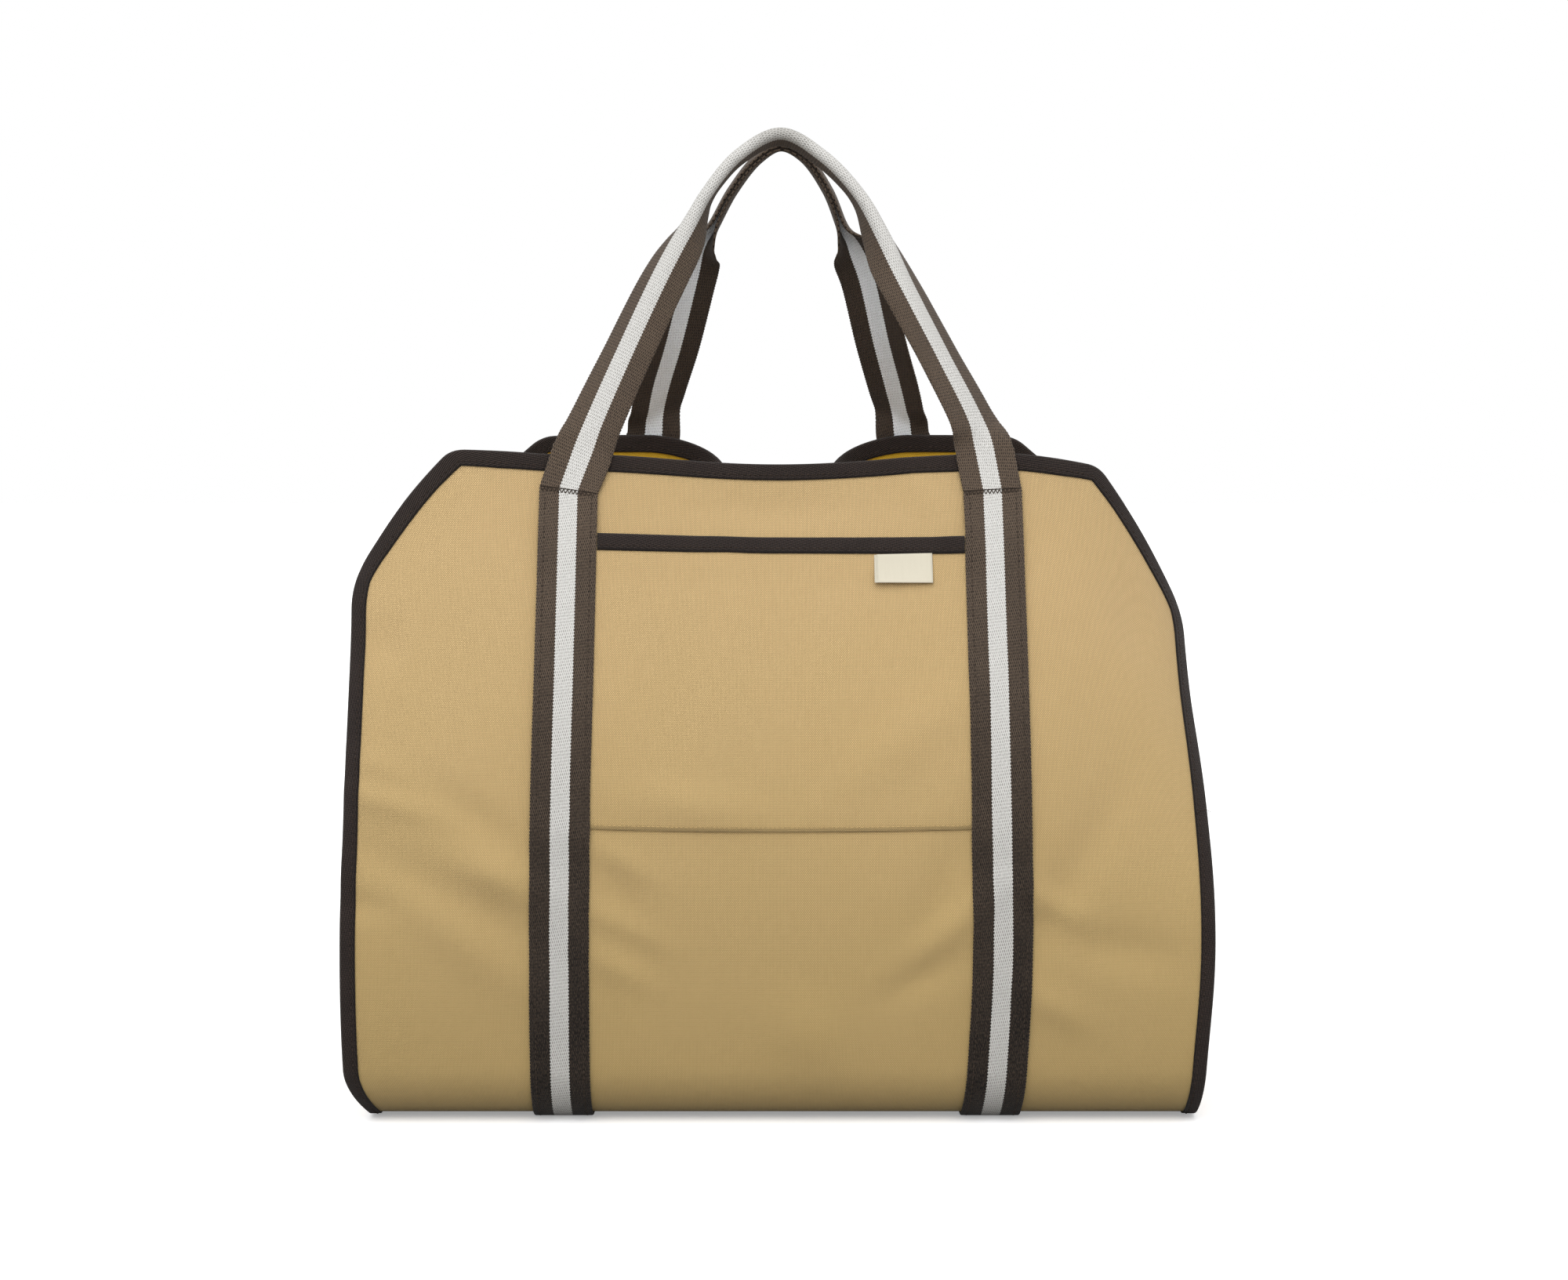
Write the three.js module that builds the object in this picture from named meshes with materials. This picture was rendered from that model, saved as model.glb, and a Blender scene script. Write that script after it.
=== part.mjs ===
import * as THREE from 'three';

// A canvas log carrier: one sling of cloth bent into a trough, bound with tape, carried by two
// webbing straps that end in two looped handles. Millimetres, Z up, X along the logs, front at -Y.

// Gap left between neighbouring pieces.
const CLEARANCE = 0.32;

// Canvas sling. The panel length runs from the bottom centre line to either top edge.
const CLOTH_WIDTH = 469;
const PANEL_LENGTH = 480;
const CLOTH_THICKNESS = 1.2;
const CORNER_CUT_ACROSS = 57.5;
const CORNER_CUT_DOWN = 70;

// Tape folded over the raw edges. The cover is how far each leg reaches in over the cloth, and
// the mitre reach the share of it that the fold at a cut corner's upper end has.
const TAPE_COVER = 8.4;
const TAPE_THICKNESS = 0.8;
const MITRE_REACH = 0.9;

// Webbing straps, sewn on from the front tack line, under the bottom, to the back tack line.
const WEBBING_WIDTH = 32;
const WEBBING_THICKNESS = 1.8;
const STRAP_SPACING = 235;
const TACK_DROP = 21.5;

// Angles in degrees at each end of the straps: slant turns the tack line, and lean is how far
// the handle leans towards the middle from there, both as seen on the flat cloth.
const TACKS = [
  { face: -1, side: -1, slant: 8, lean: 18 },
  { face: -1, side: 1, slant: 3, lean: 9 },
  { face: 1, side: -1, slant: 1, lean: 2 },
  { face: 1, side: 1, slant: 1, lean: 2 },
];

// Flat pocket on the front, caught under both straps at its sides.
const POCKET_DROP = 47;
const POCKET_LENGTH = 166;
const POCKET_TUCK = 8;
const POCKET_THICKNESS = 1;
const POCKET_EASE = 30;

// Bare woven label that hangs from the pocket's bound edge.
const LABEL_WIDTH = 30;
const LABEL_LENGTH = 19.5;
const LABEL_THICKNESS = 0.9;
const LABEL_FROM_STRAP = 18;
const LABEL_LIFT = 2;

// Handles. The rise is from the cloth's edge at the straps to the grip's spine, the spread is
// half the distance between the two spines, and the fold radius is that of the webbing's middle
// layer.
const FRONT_HANDLE_RISE = 179.5;
const BACK_HANDLE_RISE = 166;
const GRIP_SPREAD = 17;
const FOLD_RADIUS = 2.6;

// Depth of the deepest dent in the cloth.
const DENT_DEPTH = 3;

// Derived places across the cloth.
const HALF_WIDTH = CLOTH_WIDTH / 2;
const STRAP_CENTRE = STRAP_SPACING / 2;
const STRAP_INNER = STRAP_CENTRE - WEBBING_WIDTH / 2;
const STRAP_OUTER = STRAP_CENTRE + WEBBING_WIDTH / 2;
const WING_WIDTH = HALF_WIDTH - STRAP_OUTER;
const POCKET_HALF = STRAP_INNER + POCKET_TUCK;
const TOP_HALF = HALF_WIDTH - CORNER_CUT_ACROSS;

// Derived places along the cloth, as distances from the bottom centre line.
const TACK = PANEL_LENGTH - TACK_DROP;
const POCKET_TOP = PANEL_LENGTH - POCKET_DROP;
const POCKET_SEAM = POCKET_TOP - POCKET_LENGTH;
const CUT_START = PANEL_LENGTH - CORNER_CUT_DOWN;

// Heights of the layers above the cloth's outer face.
const LAYER = CLEARANCE + TAPE_THICKNESS;
const OVER_POCKET = CLEARANCE + POCKET_THICKNESS + CLEARANCE;
const MOUTH_LIFT = LAYER + CLEARANCE;
const OVER_MOUTH = MOUTH_LIFT + POCKET_THICKNESS + CLEARANCE;
const BASE_HEIGHT = CLEARANCE + WEBBING_THICKNESS;

// Direction of the cloth along a panel: run is the share of the panel's length from the bottom
// centre, lean the angle from the floor in degrees. It turns evenly from row to row, so each
// stretch is a line or an arc.
const FRONT_PROFILE = [
  { run: 0, lean: 0 },
  { run: 0.18, lean: 0 },
  { run: 0.28, lean: 78 },
  { run: 0.47, lean: 90 },
  { run: 0.72, lean: 112 },
  { run: 0.88, lean: 117 },
  { run: 1, lean: 108 },
];
const BACK_PROFILE = [
  { run: 0, lean: 0 },
  { run: 0.18, lean: 0 },
  { run: 0.28, lean: 78 },
  { run: 0.47, lean: 89 },
  { run: 0.72, lean: 100 },
  { run: 1, lean: 98 },
];

// How each panel departs from its profile. Shares of half the strap spacing: gather draws a
// strap towards the middle, sag lowers the middle and fold brings it inward. Shares of the wing's
// width: curl bends its edge inward, tuck draws it towards the middle and lift raises it.
const FRONT_SHAPE = [
  { run: 0.0, gatherLeft: 0.008, gatherRight: 0.01, sag: 0, fold: 0,
    curlLeft: 0, curlRight: 0, tuckLeft: 0.05, tuckRight: 0.03, liftLeft: 0, liftRight: 0 },
  { run: 0.2, gatherLeft: 0.008, gatherRight: 0.015, sag: 0, fold: 0,
    curlLeft: 0, curlRight: 0, tuckLeft: 0.11, tuckRight: 0.05, liftLeft: 0, liftRight: 0 },
  { run: 0.28, gatherLeft: 0.005, gatherRight: -0.005, sag: 0, fold: 0,
    curlLeft: 0, curlRight: 0, tuckLeft: 0.01, tuckRight: 0.05, liftLeft: 0, liftRight: 0 },
  { run: 0.42, gatherLeft: 0.007, gatherRight: -0.026, sag: 0, fold: 0,
    curlLeft: 0.03, curlRight: 0.04, tuckLeft: 0, tuckRight: 0.06, liftLeft: 0, liftRight: 0 },
  { run: 0.58, gatherLeft: 0.012, gatherRight: -0.02, sag: 0, fold: 0,
    curlLeft: 0.1, curlRight: 0.2, tuckLeft: 0, tuckRight: 0.06, liftLeft: 0, liftRight: 0 },
  { run: 0.74, gatherLeft: 0.02, gatherRight: -0.013, sag: 0, fold: 0,
    curlLeft: 0.14, curlRight: 0.34, tuckLeft: 0, tuckRight: 0.06, liftLeft: 0.02, liftRight: 0 },
  { run: 1.0, gatherLeft: 0.021, gatherRight: -0.004, sag: 0.05, fold: 0,
    curlLeft: 0.24, curlRight: 0.42, tuckLeft: 0, tuckRight: 0.06, liftLeft: 0.08, liftRight: -0.12 },
];
const BACK_SHAPE = [
  { run: 0.0, gatherLeft: 0.008, gatherRight: 0.01, sag: 0, fold: 0,
    curlLeft: 0, curlRight: 0, tuckLeft: 0.05, tuckRight: 0.03, liftLeft: 0, liftRight: 0 },
  { run: 0.28, gatherLeft: 0, gatherRight: 0, sag: 0, fold: 0,
    curlLeft: 0, curlRight: 0, tuckLeft: 0, tuckRight: 0, liftLeft: 0, liftRight: 0 },
  { run: 0.55, gatherLeft: 0.02, gatherRight: 0.02, sag: 0, fold: 0.06,
    curlLeft: 0.06, curlRight: 0.06, tuckLeft: 0, tuckRight: 0, liftLeft: 0, liftRight: 0 },
  { run: 0.78, gatherLeft: 0.15, gatherRight: 0.15, sag: 0.09, fold: 0.25,
    curlLeft: 0.16, curlRight: 0.16, tuckLeft: 0, tuckRight: 0, liftLeft: 0, liftRight: 0 },
  { run: 1.0, gatherLeft: 0.36, gatherRight: 0.36, sag: 0.34, fold: 0.48,
    curlLeft: 0.26, curlRight: 0.26, tuckLeft: -0.3, tuckRight: -0.3, liftLeft: 0, liftRight: 0 },
];

// Reach of the sag and of the fold from the middle, as shares of half the strap spacing.
const SAG_REACH = 1.03;
const FOLD_REACH = 0.79;

// Dents and soft folds of the front panel. Across and its reach are shares of half the cloth's
// width, along and its reach shares of the panel's length, turn is in degrees, depth a share of
// the deepest dent, below zero where the cloth stands out.
const DENTS = [
  { across: -0.93, along: 0.775, reachAcross: 0.045, reachAlong: 0.03, turn: 20, depth: 1 },
  { across: -0.83, along: 0.5, reachAcross: 0.05, reachAlong: 0.14, turn: 62, depth: 0.9 },
  { across: -0.72, along: 0.43, reachAcross: 0.05, reachAlong: 0.12, turn: 50, depth: -0.6 },
  { across: -0.36, along: 0.47, reachAcross: 0.045, reachAlong: 0.1, turn: 20, depth: 0.8 },
  { across: 0.38, along: 0.5, reachAcross: 0.045, reachAlong: 0.1, turn: -20, depth: 0.8 },
  { across: 0.66, along: 0.5, reachAcross: 0.05, reachAlong: 0.13, turn: -30, depth: 0.9 },
  { across: 0.36, along: 0.94, reachAcross: 0.04, reachAlong: 0.07, turn: 30, depth: -0.6 },
];

// Handles from left to right: across is a share of half the strap spacing, rise of the handle's
// rise, and inward of the way from the cloth's edge to the grip's plane. Turn is how far the
// webbing's face turns towards the outside of the arch, and fold how far its sides are folded
// together, both in degrees.
const FRONT_HANDLE = [
  { across: -0.866, rise: 0.088, inward: 0.11, turn: 18, fold: 18 },
  { across: -0.725, rise: 0.306, inward: 0.34, turn: 25, fold: 46 },
  { across: -0.576, rise: 0.523, inward: 0.55, turn: 20, fold: 80 },
  { across: -0.465, rise: 0.67, inward: 0.7, turn: 14, fold: 150 },
  { across: -0.347, rise: 0.803, inward: 0.82, turn: 12, fold: 180 },
  { across: -0.19, rise: 0.93, inward: 0.94, turn: 20, fold: 180 },
  { across: 0.015, rise: 1, inward: 1, turn: 30, fold: 180 },
  { across: 0.216, rise: 0.93, inward: 0.94, turn: 28, fold: 180 },
  { across: 0.394, rise: 0.805, inward: 0.82, turn: 25, fold: 180 },
  { across: 0.506, rise: 0.678, inward: 0.7, turn: 32, fold: 140 },
  { across: 0.611, rise: 0.523, inward: 0.55, turn: 42, fold: 55 },
  { across: 0.774, rise: 0.306, inward: 0.34, turn: 45, fold: 28 },
  { across: 0.936, rise: 0.088, inward: 0.11, turn: 38, fold: 20 },
];
const BACK_HANDLE = [
  { across: -0.628, rise: 0.055, inward: 0.03, turn: 34, fold: 0 },
  { across: -0.595, rise: 0.16, inward: 0.16, turn: 24, fold: 10 },
  { across: -0.524, rise: 0.317, inward: 0.35, turn: 22, fold: 25 },
  { across: -0.41, rise: 0.55, inward: 0.58, turn: 22, fold: 85 },
  { across: -0.336, rise: 0.712, inward: 0.73, turn: 6, fold: 170 },
  { across: -0.242, rise: 0.839, inward: 0.85, turn: 2, fold: 180 },
  { across: -0.115, rise: 0.945, inward: 0.95, turn: 6, fold: 180 },
  { across: 0.015, rise: 1, inward: 1, turn: 10, fold: 180 },
  { across: 0.125, rise: 0.95, inward: 0.96, turn: 6, fold: 180 },
  { across: 0.252, rise: 0.839, inward: 0.85, turn: 4, fold: 180 },
  { across: 0.326, rise: 0.712, inward: 0.73, turn: 8, fold: 170 },
  { across: 0.427, rise: 0.55, inward: 0.58, turn: 24, fold: 85 },
  { across: 0.521, rise: 0.317, inward: 0.35, turn: 26, fold: 25 },
  { across: 0.585, rise: 0.16, inward: 0.16, turn: 26, fold: 10 },
  { across: 0.624, rise: 0.055, inward: 0.03, turn: 34, fold: 0 },
];

const radians = THREE.MathUtils.degToRad;

// Value of one column of a table at a run, eased from row to row.
function lookup(rows, name, run) {
  const last = rows.length - 1;
  let next = rows.findIndex((row) => row.run > run);
  if (next === 0) return rows[0][name];
  if (next < 0) return rows[last][name];
  const low = rows[next - 1];
  const high = rows[next];
  const share = THREE.MathUtils.smoothstep(run, low.run, high.run);
  return THREE.MathUtils.lerp(low[name], high[name], share);
}

// Rounded bump that is 1 in the middle and 0 from x = 1 outward.
function bell(x) {
  return Math.abs(x) < 1 ? Math.cos((x * Math.PI) / 2) ** 2 : 0;
}

// Distance out from the centre plane, height and lean after a travel along a profile.
function profilePoint(rows, travel) {
  let out = 0;
  let up = 0;
  let lean = 0;
  for (let i = 1; i < rows.length; i += 1) {
    const start = rows[i - 1].run * PANEL_LENGTH;
    const length = rows[i].run * PANEL_LENGTH - start;
    const open = i === rows.length - 1 ? Infinity : length;
    const step = Math.min(travel - start, open);
    if (step <= 0) break;
    const first = radians(rows[i - 1].lean);
    const bend = (radians(rows[i].lean) - first) / length;
    lean = first + bend * step;
    if (bend === 0) {
      out += Math.cos(first) * step;
      up += Math.sin(first) * step;
    } else {
      out += (Math.sin(lean) - Math.sin(first)) / bend;
      up += (Math.cos(first) - Math.cos(lean)) / bend;
    }
  }
  return { out, up, lean };
}

// Depth of all dents at a place on the front panel.
function dentDepth(across, travel) {
  let depth = 0;
  for (const dent of DENTS) {
    const dx = across - dent.across * HALF_WIDTH;
    const dt = travel - dent.along * PANEL_LENGTH;
    const cos = Math.cos(radians(dent.turn));
    const sin = Math.sin(radians(dent.turn));
    const u = (dx * cos + dt * sin) / (dent.reachAcross * HALF_WIDTH);
    const v = (dt * cos - dx * sin) / (dent.reachAlong * PANEL_LENGTH);
    depth += DENT_DEPTH * dent.depth * Math.exp(-u * u - v * v);
  }
  return depth;
}

// Point on the cloth's outer face. Across runs from left to right, along from the front edge
// (below zero) over the bottom centre line (zero) to the back edge.
function clothPoint(across, along) {
  const front = along < 0;
  const travel = Math.abs(along);
  const run = travel / PANEL_LENGTH;
  const table = front ? FRONT_SHAPE : BACK_SHAPE;
  const side = across < 0 ? 'Left' : 'Right';
  const reach = Math.abs(across);
  const { out, up, lean } = profilePoint(front ? FRONT_PROFILE : BACK_PROFILE, travel);
  const inner = Math.min(reach / STRAP_INNER, 1);
  const drawn = inner - Math.sin(2 * Math.PI * inner) / (2 * Math.PI);
  const gather = lookup(table, `gather${side}`, run) * STRAP_CENTRE * drawn;
  const wing = Math.max(0, reach - STRAP_OUTER) / WING_WIDTH;
  const curl = lookup(table, `curl${side}`, run) * WING_WIDTH;
  const tuck = lookup(table, `tuck${side}`, run) * WING_WIDTH * wing * wing;
  const lift = lookup(table, `lift${side}`, run) * WING_WIDTH * wing;
  const shortened = ((2 / 3) * curl * curl * wing ** 3) / WING_WIDTH;
  const sag = lookup(table, 'sag', run) * STRAP_CENTRE * bell(reach / (SAG_REACH * STRAP_CENTRE));
  const fold = lookup(table, 'fold', run) * STRAP_CENTRE * bell(reach / (FOLD_REACH * STRAP_CENTRE));
  const inward = curl * wing * wing + (front ? dentDepth(across, travel) : 0);
  const x = Math.sign(across) * (reach - gather - tuck - shortened);
  const y = out - fold - Math.sin(lean) * inward;
  const z = BASE_HEIGHT + up + lift - sag + Math.cos(lean) * inward;
  return new THREE.Vector3(x, front ? -y : y, z);
}

// Outward normal of the cloth, from its slopes across and along.
function clothNormal(across, along) {
  const step = 0.5;
  const acrossSlope = clothPoint(across + step, along).sub(clothPoint(across - step, along));
  const alongSlope = clothPoint(across, along + step).sub(clothPoint(across, along - step));
  return alongSlope.cross(acrossSlope).normalize();
}

// Point at a height above the cloth's outer face. It keeps its place on the flat cloth.
function liftedPoint(across, along, height) {
  const point = clothPoint(across, along).addScaledVector(clothNormal(across, along), height);
  return Object.assign(point, { across, along });
}

// Half the cloth's width at a distance from the bottom centre line, with the corners cut off.
function halfWidthAt(travel) {
  const cut = Math.max(0, travel - CUT_START) / CORNER_CUT_DOWN;
  return HALF_WIDTH - cut * CORNER_CUT_ACROSS;
}

// Width across the cloth that one millimetre square to its side edge takes up.
function edgeSlant(travel) {
  return travel > CUT_START ? Math.hypot(1, CORNER_CUT_ACROSS / CORNER_CUT_DOWN) : 1;
}

// Closed solid between two matching grids of points. With joined rows the grid is a ring. Four
// corners on the cloth are split along the diagonal that runs the same way over the flat cloth,
// so that layers that face each other stay parallel.
function solidBetween(outer, inner, joined = false) {
  const rows = outer.length;
  const columns = outer[0].length;
  const points = [...outer.flat(), ...inner.flat()];
  const at = (layer, i, j) => layer * rows * columns + (i % rows) * columns + j;
  const faces = [];
  const rise = (a, b) => (
    (points[b].across - points[a].across) * (points[b].along - points[a].along)
  );
  const quad = (a, b, c, d) => {
    if (rise(b, d) > rise(a, c)) faces.push(a, b, d, b, c, d);
    else faces.push(a, b, c, a, c, d);
  };
  const spans = joined ? rows : rows - 1;
  for (let i = 0; i < spans; i += 1) {
    for (let j = 0; j < columns - 1; j += 1) {
      quad(at(0, i, j), at(0, i, j + 1), at(0, i + 1, j + 1), at(0, i + 1, j));
      quad(at(1, i, j), at(1, i + 1, j), at(1, i + 1, j + 1), at(1, i, j + 1));
    }
    const end = columns - 1;
    quad(at(0, i, 0), at(0, i + 1, 0), at(1, i + 1, 0), at(1, i, 0));
    quad(at(0, i + 1, end), at(0, i, end), at(1, i, end), at(1, i + 1, end));
  }
  for (let j = 0; j < columns - 1 && !joined; j += 1) {
    const end = rows - 1;
    quad(at(0, 0, j + 1), at(0, 0, j), at(1, 0, j), at(1, 0, j + 1));
    quad(at(0, end, j), at(0, end, j + 1), at(1, end, j + 1), at(1, end, j));
  }
  const geometry = new THREE.BufferGeometry().setFromPoints(points);
  geometry.setIndex(enclosedVolume(points, faces) < 0 ? faces.reverse() : faces);
  geometry.computeVertexNormals();
  return geometry;
}

// Signed volume inside a closed set of triangles.
function enclosedVolume(points, faces) {
  let volume = 0;
  for (let i = 0; i < faces.length; i += 3) {
    const [a, b, c] = [points[faces[i]], points[faces[i + 1]], points[faces[i + 2]]];
    volume += a.dot(b.clone().cross(c)) / 6;
  }
  return volume;
}

// Named mesh with its own material.
function makeMesh(name, geometry, color, roughness) {
  const material = new THREE.MeshStandardMaterial({ color, roughness, metalness: 0 });
  const mesh = new THREE.Mesh(geometry, material);
  mesh.name = name;
  return mesh;
}

// Numbers from first to last in even steps no longer than a limit, the last one left out.
function evenSteps(first, last, limit) {
  const count = Math.max(1, Math.ceil(Math.abs(last - first) / limit - 1e-6));
  return Array.from({ length: count }, (_, i) => first + ((last - first) * i) / count);
}

// Rows of the cloth from a top edge down to the bottom centre line. Every piece on the cloth
// uses them, so that all its layers bend at the same lines.
function panelRows(profile, marks) {
  const bends = profile.map((row) => row.run * PANEL_LENGTH).slice(1, 3);
  const stops = [...new Set([PANEL_LENGTH, ...marks, bends[1], bends[0], 0])];
  stops.sort((a, b) => b - a);
  const rows = [];
  for (let i = 0; i < stops.length - 1; i += 1) {
    const bending = stops[i] <= bends[1] && stops[i] > bends[0];
    const flat = stops[i] <= bends[0];
    rows.push(...evenSteps(stops[i], stops[i + 1], flat ? bends[0] : bending ? 9.8 : 22));
  }
  return rows;
}

const EDGE_MARKS = [PANEL_LENGTH - TAPE_COVER, TACK, CUT_START];
const FRONT_ROWS = panelRows(FRONT_PROFILE, [...EDGE_MARKS, POCKET_TOP, POCKET_SEAM]);
const BACK_ROWS = panelRows(BACK_PROFILE, EDGE_MARKS);
const ROWS = [...FRONT_ROWS.map((travel) => -travel), 0, ...BACK_ROWS.reverse()];

// Columns of the cloth at a row: fixed ones up to the straps' outer edges, and wings that narrow
// where the corners are cut off.
function columnsAt(along) {
  const half = halfWidthAt(Math.abs(along));
  const cover = TAPE_COVER * edgeSlant(Math.abs(along));
  const wing = (share) => STRAP_OUTER + (half - cover - STRAP_OUTER) * share;
  const straps = [STRAP_INNER, POCKET_HALF, STRAP_OUTER];
  const right = [...evenSteps(0, STRAP_INNER, 21), ...straps, ...[0.3, 0.55, 0.78, 1].map(wing), half];
  return [...right.slice(1).reverse().map((across) => -across), ...right];
}

// Canvas sling: the grid of the cloth between its outer and inner face.
function canvasGeometry() {
  const layer = (height) => ROWS.map((along) => (
    columnsAt(along).map((across) => liftedPoint(across, along, height))
  ));
  return solidBetween(layer(0), layer(-CLOTH_THICKNESS));
}

// Cross-section of a tape folded over an edge: reach in from the edge and height above the outer
// face, for the tape's outer line and its inner line.
function tapeSection(thickness) {
  const outside = TAPE_THICKNESS + CLEARANCE;
  const line = (gap) => [
    { reach: TAPE_COVER, height: gap },
    { reach: -gap, height: gap },
    { reach: -gap, height: -thickness - gap },
    { reach: TAPE_COVER, height: -thickness - gap },
  ];
  return { outer: line(outside), inner: line(CLEARANCE) };
}

// Stations round the cloth's edge: the edge point and the change across and along that leads
// one millimetre in from the edge.
function edgeStations() {
  const mitre = CORNER_CUT_ACROSS / CORNER_CUT_DOWN - edgeSlant(PANEL_LENGTH);
  const sides = ROWS.slice(1, -1);
  const rightSide = sides.map((along) => ({
    across: halfWidthAt(Math.abs(along)),
    along,
    stepAcross: -edgeSlant(Math.abs(along)),
    stepAlong: 0,
  }));
  const corner = (front) => ({
    across: TOP_HALF,
    along: front ? -PANEL_LENGTH : PANEL_LENGTH,
    stepAcross: mitre * MITRE_REACH,
    stepAlong: front ? MITRE_REACH : -MITRE_REACH,
  });
  const top = (front) => columnsAt(PANEL_LENGTH)
    .filter((across) => Math.abs(across) < TOP_HALF - TAPE_COVER)
    .map((across) => ({ ...corner(front), across, stepAcross: 0 }));
  const mirrored = (list) => list.map((station) => ({
    ...station,
    across: -station.across,
    stepAcross: -station.stepAcross,
  })).reverse();
  const right = [corner(true), ...rightSide, corner(false)];
  return [...top(true), ...right, ...top(false).reverse(), ...mirrored(right)];
}

// One line of the tape's section at a station of an edge.
function tapeLine(station, line) {
  return line.map(({ reach, height }) => liftedPoint(
    station.across + station.stepAcross * reach,
    station.along + station.stepAlong * reach,
    height,
  ));
}

// Tape round the whole edge of the cloth.
function edgeTapeGeometry() {
  const section = tapeSection(CLOTH_THICKNESS);
  const stations = edgeStations();
  const rings = (line) => stations.map((station) => tapeLine(station, line));
  return solidBetween(rings(section.outer), rings(section.inner), true);
}

// Height of the pocket's inner face above the cloth: it stands off where its tape goes round.
function pocketLift(travel) {
  const share = THREE.MathUtils.smoothstep(travel, POCKET_TOP - POCKET_EASE, POCKET_TOP - TAPE_COVER);
  return THREE.MathUtils.lerp(CLEARANCE, MOUTH_LIFT, share);
}

// Height of the straps' inner face above the cloth, over the pocket, its mouth and the tape.
function strapLift(along) {
  const travel = Math.abs(along);
  const onto = (from, to) => THREE.MathUtils.smoothstep(travel, from, to);
  const rim = THREE.MathUtils.lerp(CLEARANCE, OVER_POCKET, onto(TACK - POCKET_EASE, TACK));
  if (along > 0) return rim;
  const pocket = THREE.MathUtils.lerp(CLEARANCE, OVER_POCKET, onto(POCKET_SEAM - 24, POCKET_SEAM));
  const mouth = onto(POCKET_TOP - POCKET_EASE, POCKET_TOP - TAPE_COVER) * (1 - onto(POCKET_TOP, TACK));
  return pocket + (OVER_MOUTH - OVER_POCKET) * mouth;
}

// Pocket panel between its seam and its top edge.
function pocketGeometry() {
  const rows = ROWS.filter((along) => -along >= POCKET_SEAM && -along <= POCKET_TOP);
  const layer = (extra) => rows.map((along) => (
    columnsAt(0)
      .filter((across) => Math.abs(across) <= POCKET_HALF)
      .map((across) => liftedPoint(across, along, pocketLift(-along) + extra))
  ));
  return solidBetween(layer(POCKET_THICKNESS), layer(0));
}

// Tape over the pocket's top edge, ending beside the straps.
function pocketTapeGeometry() {
  const section = tapeSection(POCKET_THICKNESS);
  const end = STRAP_INNER - CLEARANCE;
  const inside = columnsAt(0).filter((across) => Math.abs(across) < end - 1);
  const rings = (line) => [-end, ...inside, end].map((across) => line.map(({ reach, height }) => (
    liftedPoint(across, -POCKET_TOP + reach, MOUTH_LIFT + POCKET_THICKNESS + height)
  )));
  return solidBetween(rings(section.outer), rings(section.inner));
}

// Label below the pocket's tape, its lower edge lifted off the pocket.
function labelGeometry() {
  const right = STRAP_INNER - LABEL_FROM_STRAP;
  const top = POCKET_TOP - TAPE_COVER - CLEARANCE;
  const shares = [0, 0.25, 0.5, 0.75, 1];
  const layer = (extra) => shares.map((drop) => shares.map((part) => {
    const travel = top - LABEL_LENGTH * drop;
    const rest = pocketLift(travel) + POCKET_THICKNESS + CLEARANCE;
    const height = rest + LABEL_LIFT * drop * drop * (1 - 0.5 * part) + extra;
    return liftedPoint(right - LABEL_WIDTH * (1 - part), -travel, height);
  }));
  return solidBetween(layer(LABEL_THICKNESS), layer(0));
}

// Tangent of an angle of the tack at one end of a strap.
function tackSlope(face, side, angle) {
  return Math.tan(radians(TACKS.find((tack) => tack.face === face && tack.side === side)[angle]));
}

// Strap from its front tack line to its back one.
function strapGeometry(side) {
  const edges = [STRAP_INNER, POCKET_HALF, STRAP_OUTER].map((across) => side * across);
  const columns = edges.sort((a, b) => a - b);
  const between = ROWS.filter((along) => Math.abs(along) < TACK - WEBBING_WIDTH / 4);
  const end = (face) => columns.map((across) => ({
    across,
    along: face * (TACK + (side * across - STRAP_CENTRE) * tackSlope(face, side, 'slant')),
  }));
  const body = between.map((along) => columns.map((across) => ({ across, along })));
  const layer = (extra) => [end(-1), ...body, end(1)].map((row) => row.map(({ across, along }) => (
    liftedPoint(across, along, strapLift(along) + extra)
  )));
  return solidBetween(layer(WEBBING_THICKNESS), layer(0));
}

// Cross-section of the webbing: for each place across it, the distance to the side and behind
// the spine of the middle layer, and the tilt of its face. Only the middle bends.
const RINGS_PER_FRAME = 3;
const BENT_HALF = (FOLD_RADIUS * Math.PI) / 2;
const SECTION = [-1, -1 / 3, 1 / 3, 1].map((share) => share * BENT_HALF);
SECTION.unshift(-WEBBING_WIDTH / 2);
SECTION.push(WEBBING_WIDTH / 2);
function foldedPlace(place, fold) {
  const half = Math.max(radians(fold) / 2, 1e-4);
  const radius = BENT_HALF / half;
  const bent = THREE.MathUtils.clamp(place, -BENT_HALF, BENT_HALF);
  const straight = Math.abs(place - bent);
  const tilt = bent / radius;
  const side = radius * Math.sin(tilt) + Math.sign(place) * straight * Math.cos(half);
  const behind = radius * (1 - Math.cos(tilt)) + straight * Math.sin(half);
  return { side, behind, tilt };
}

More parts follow.
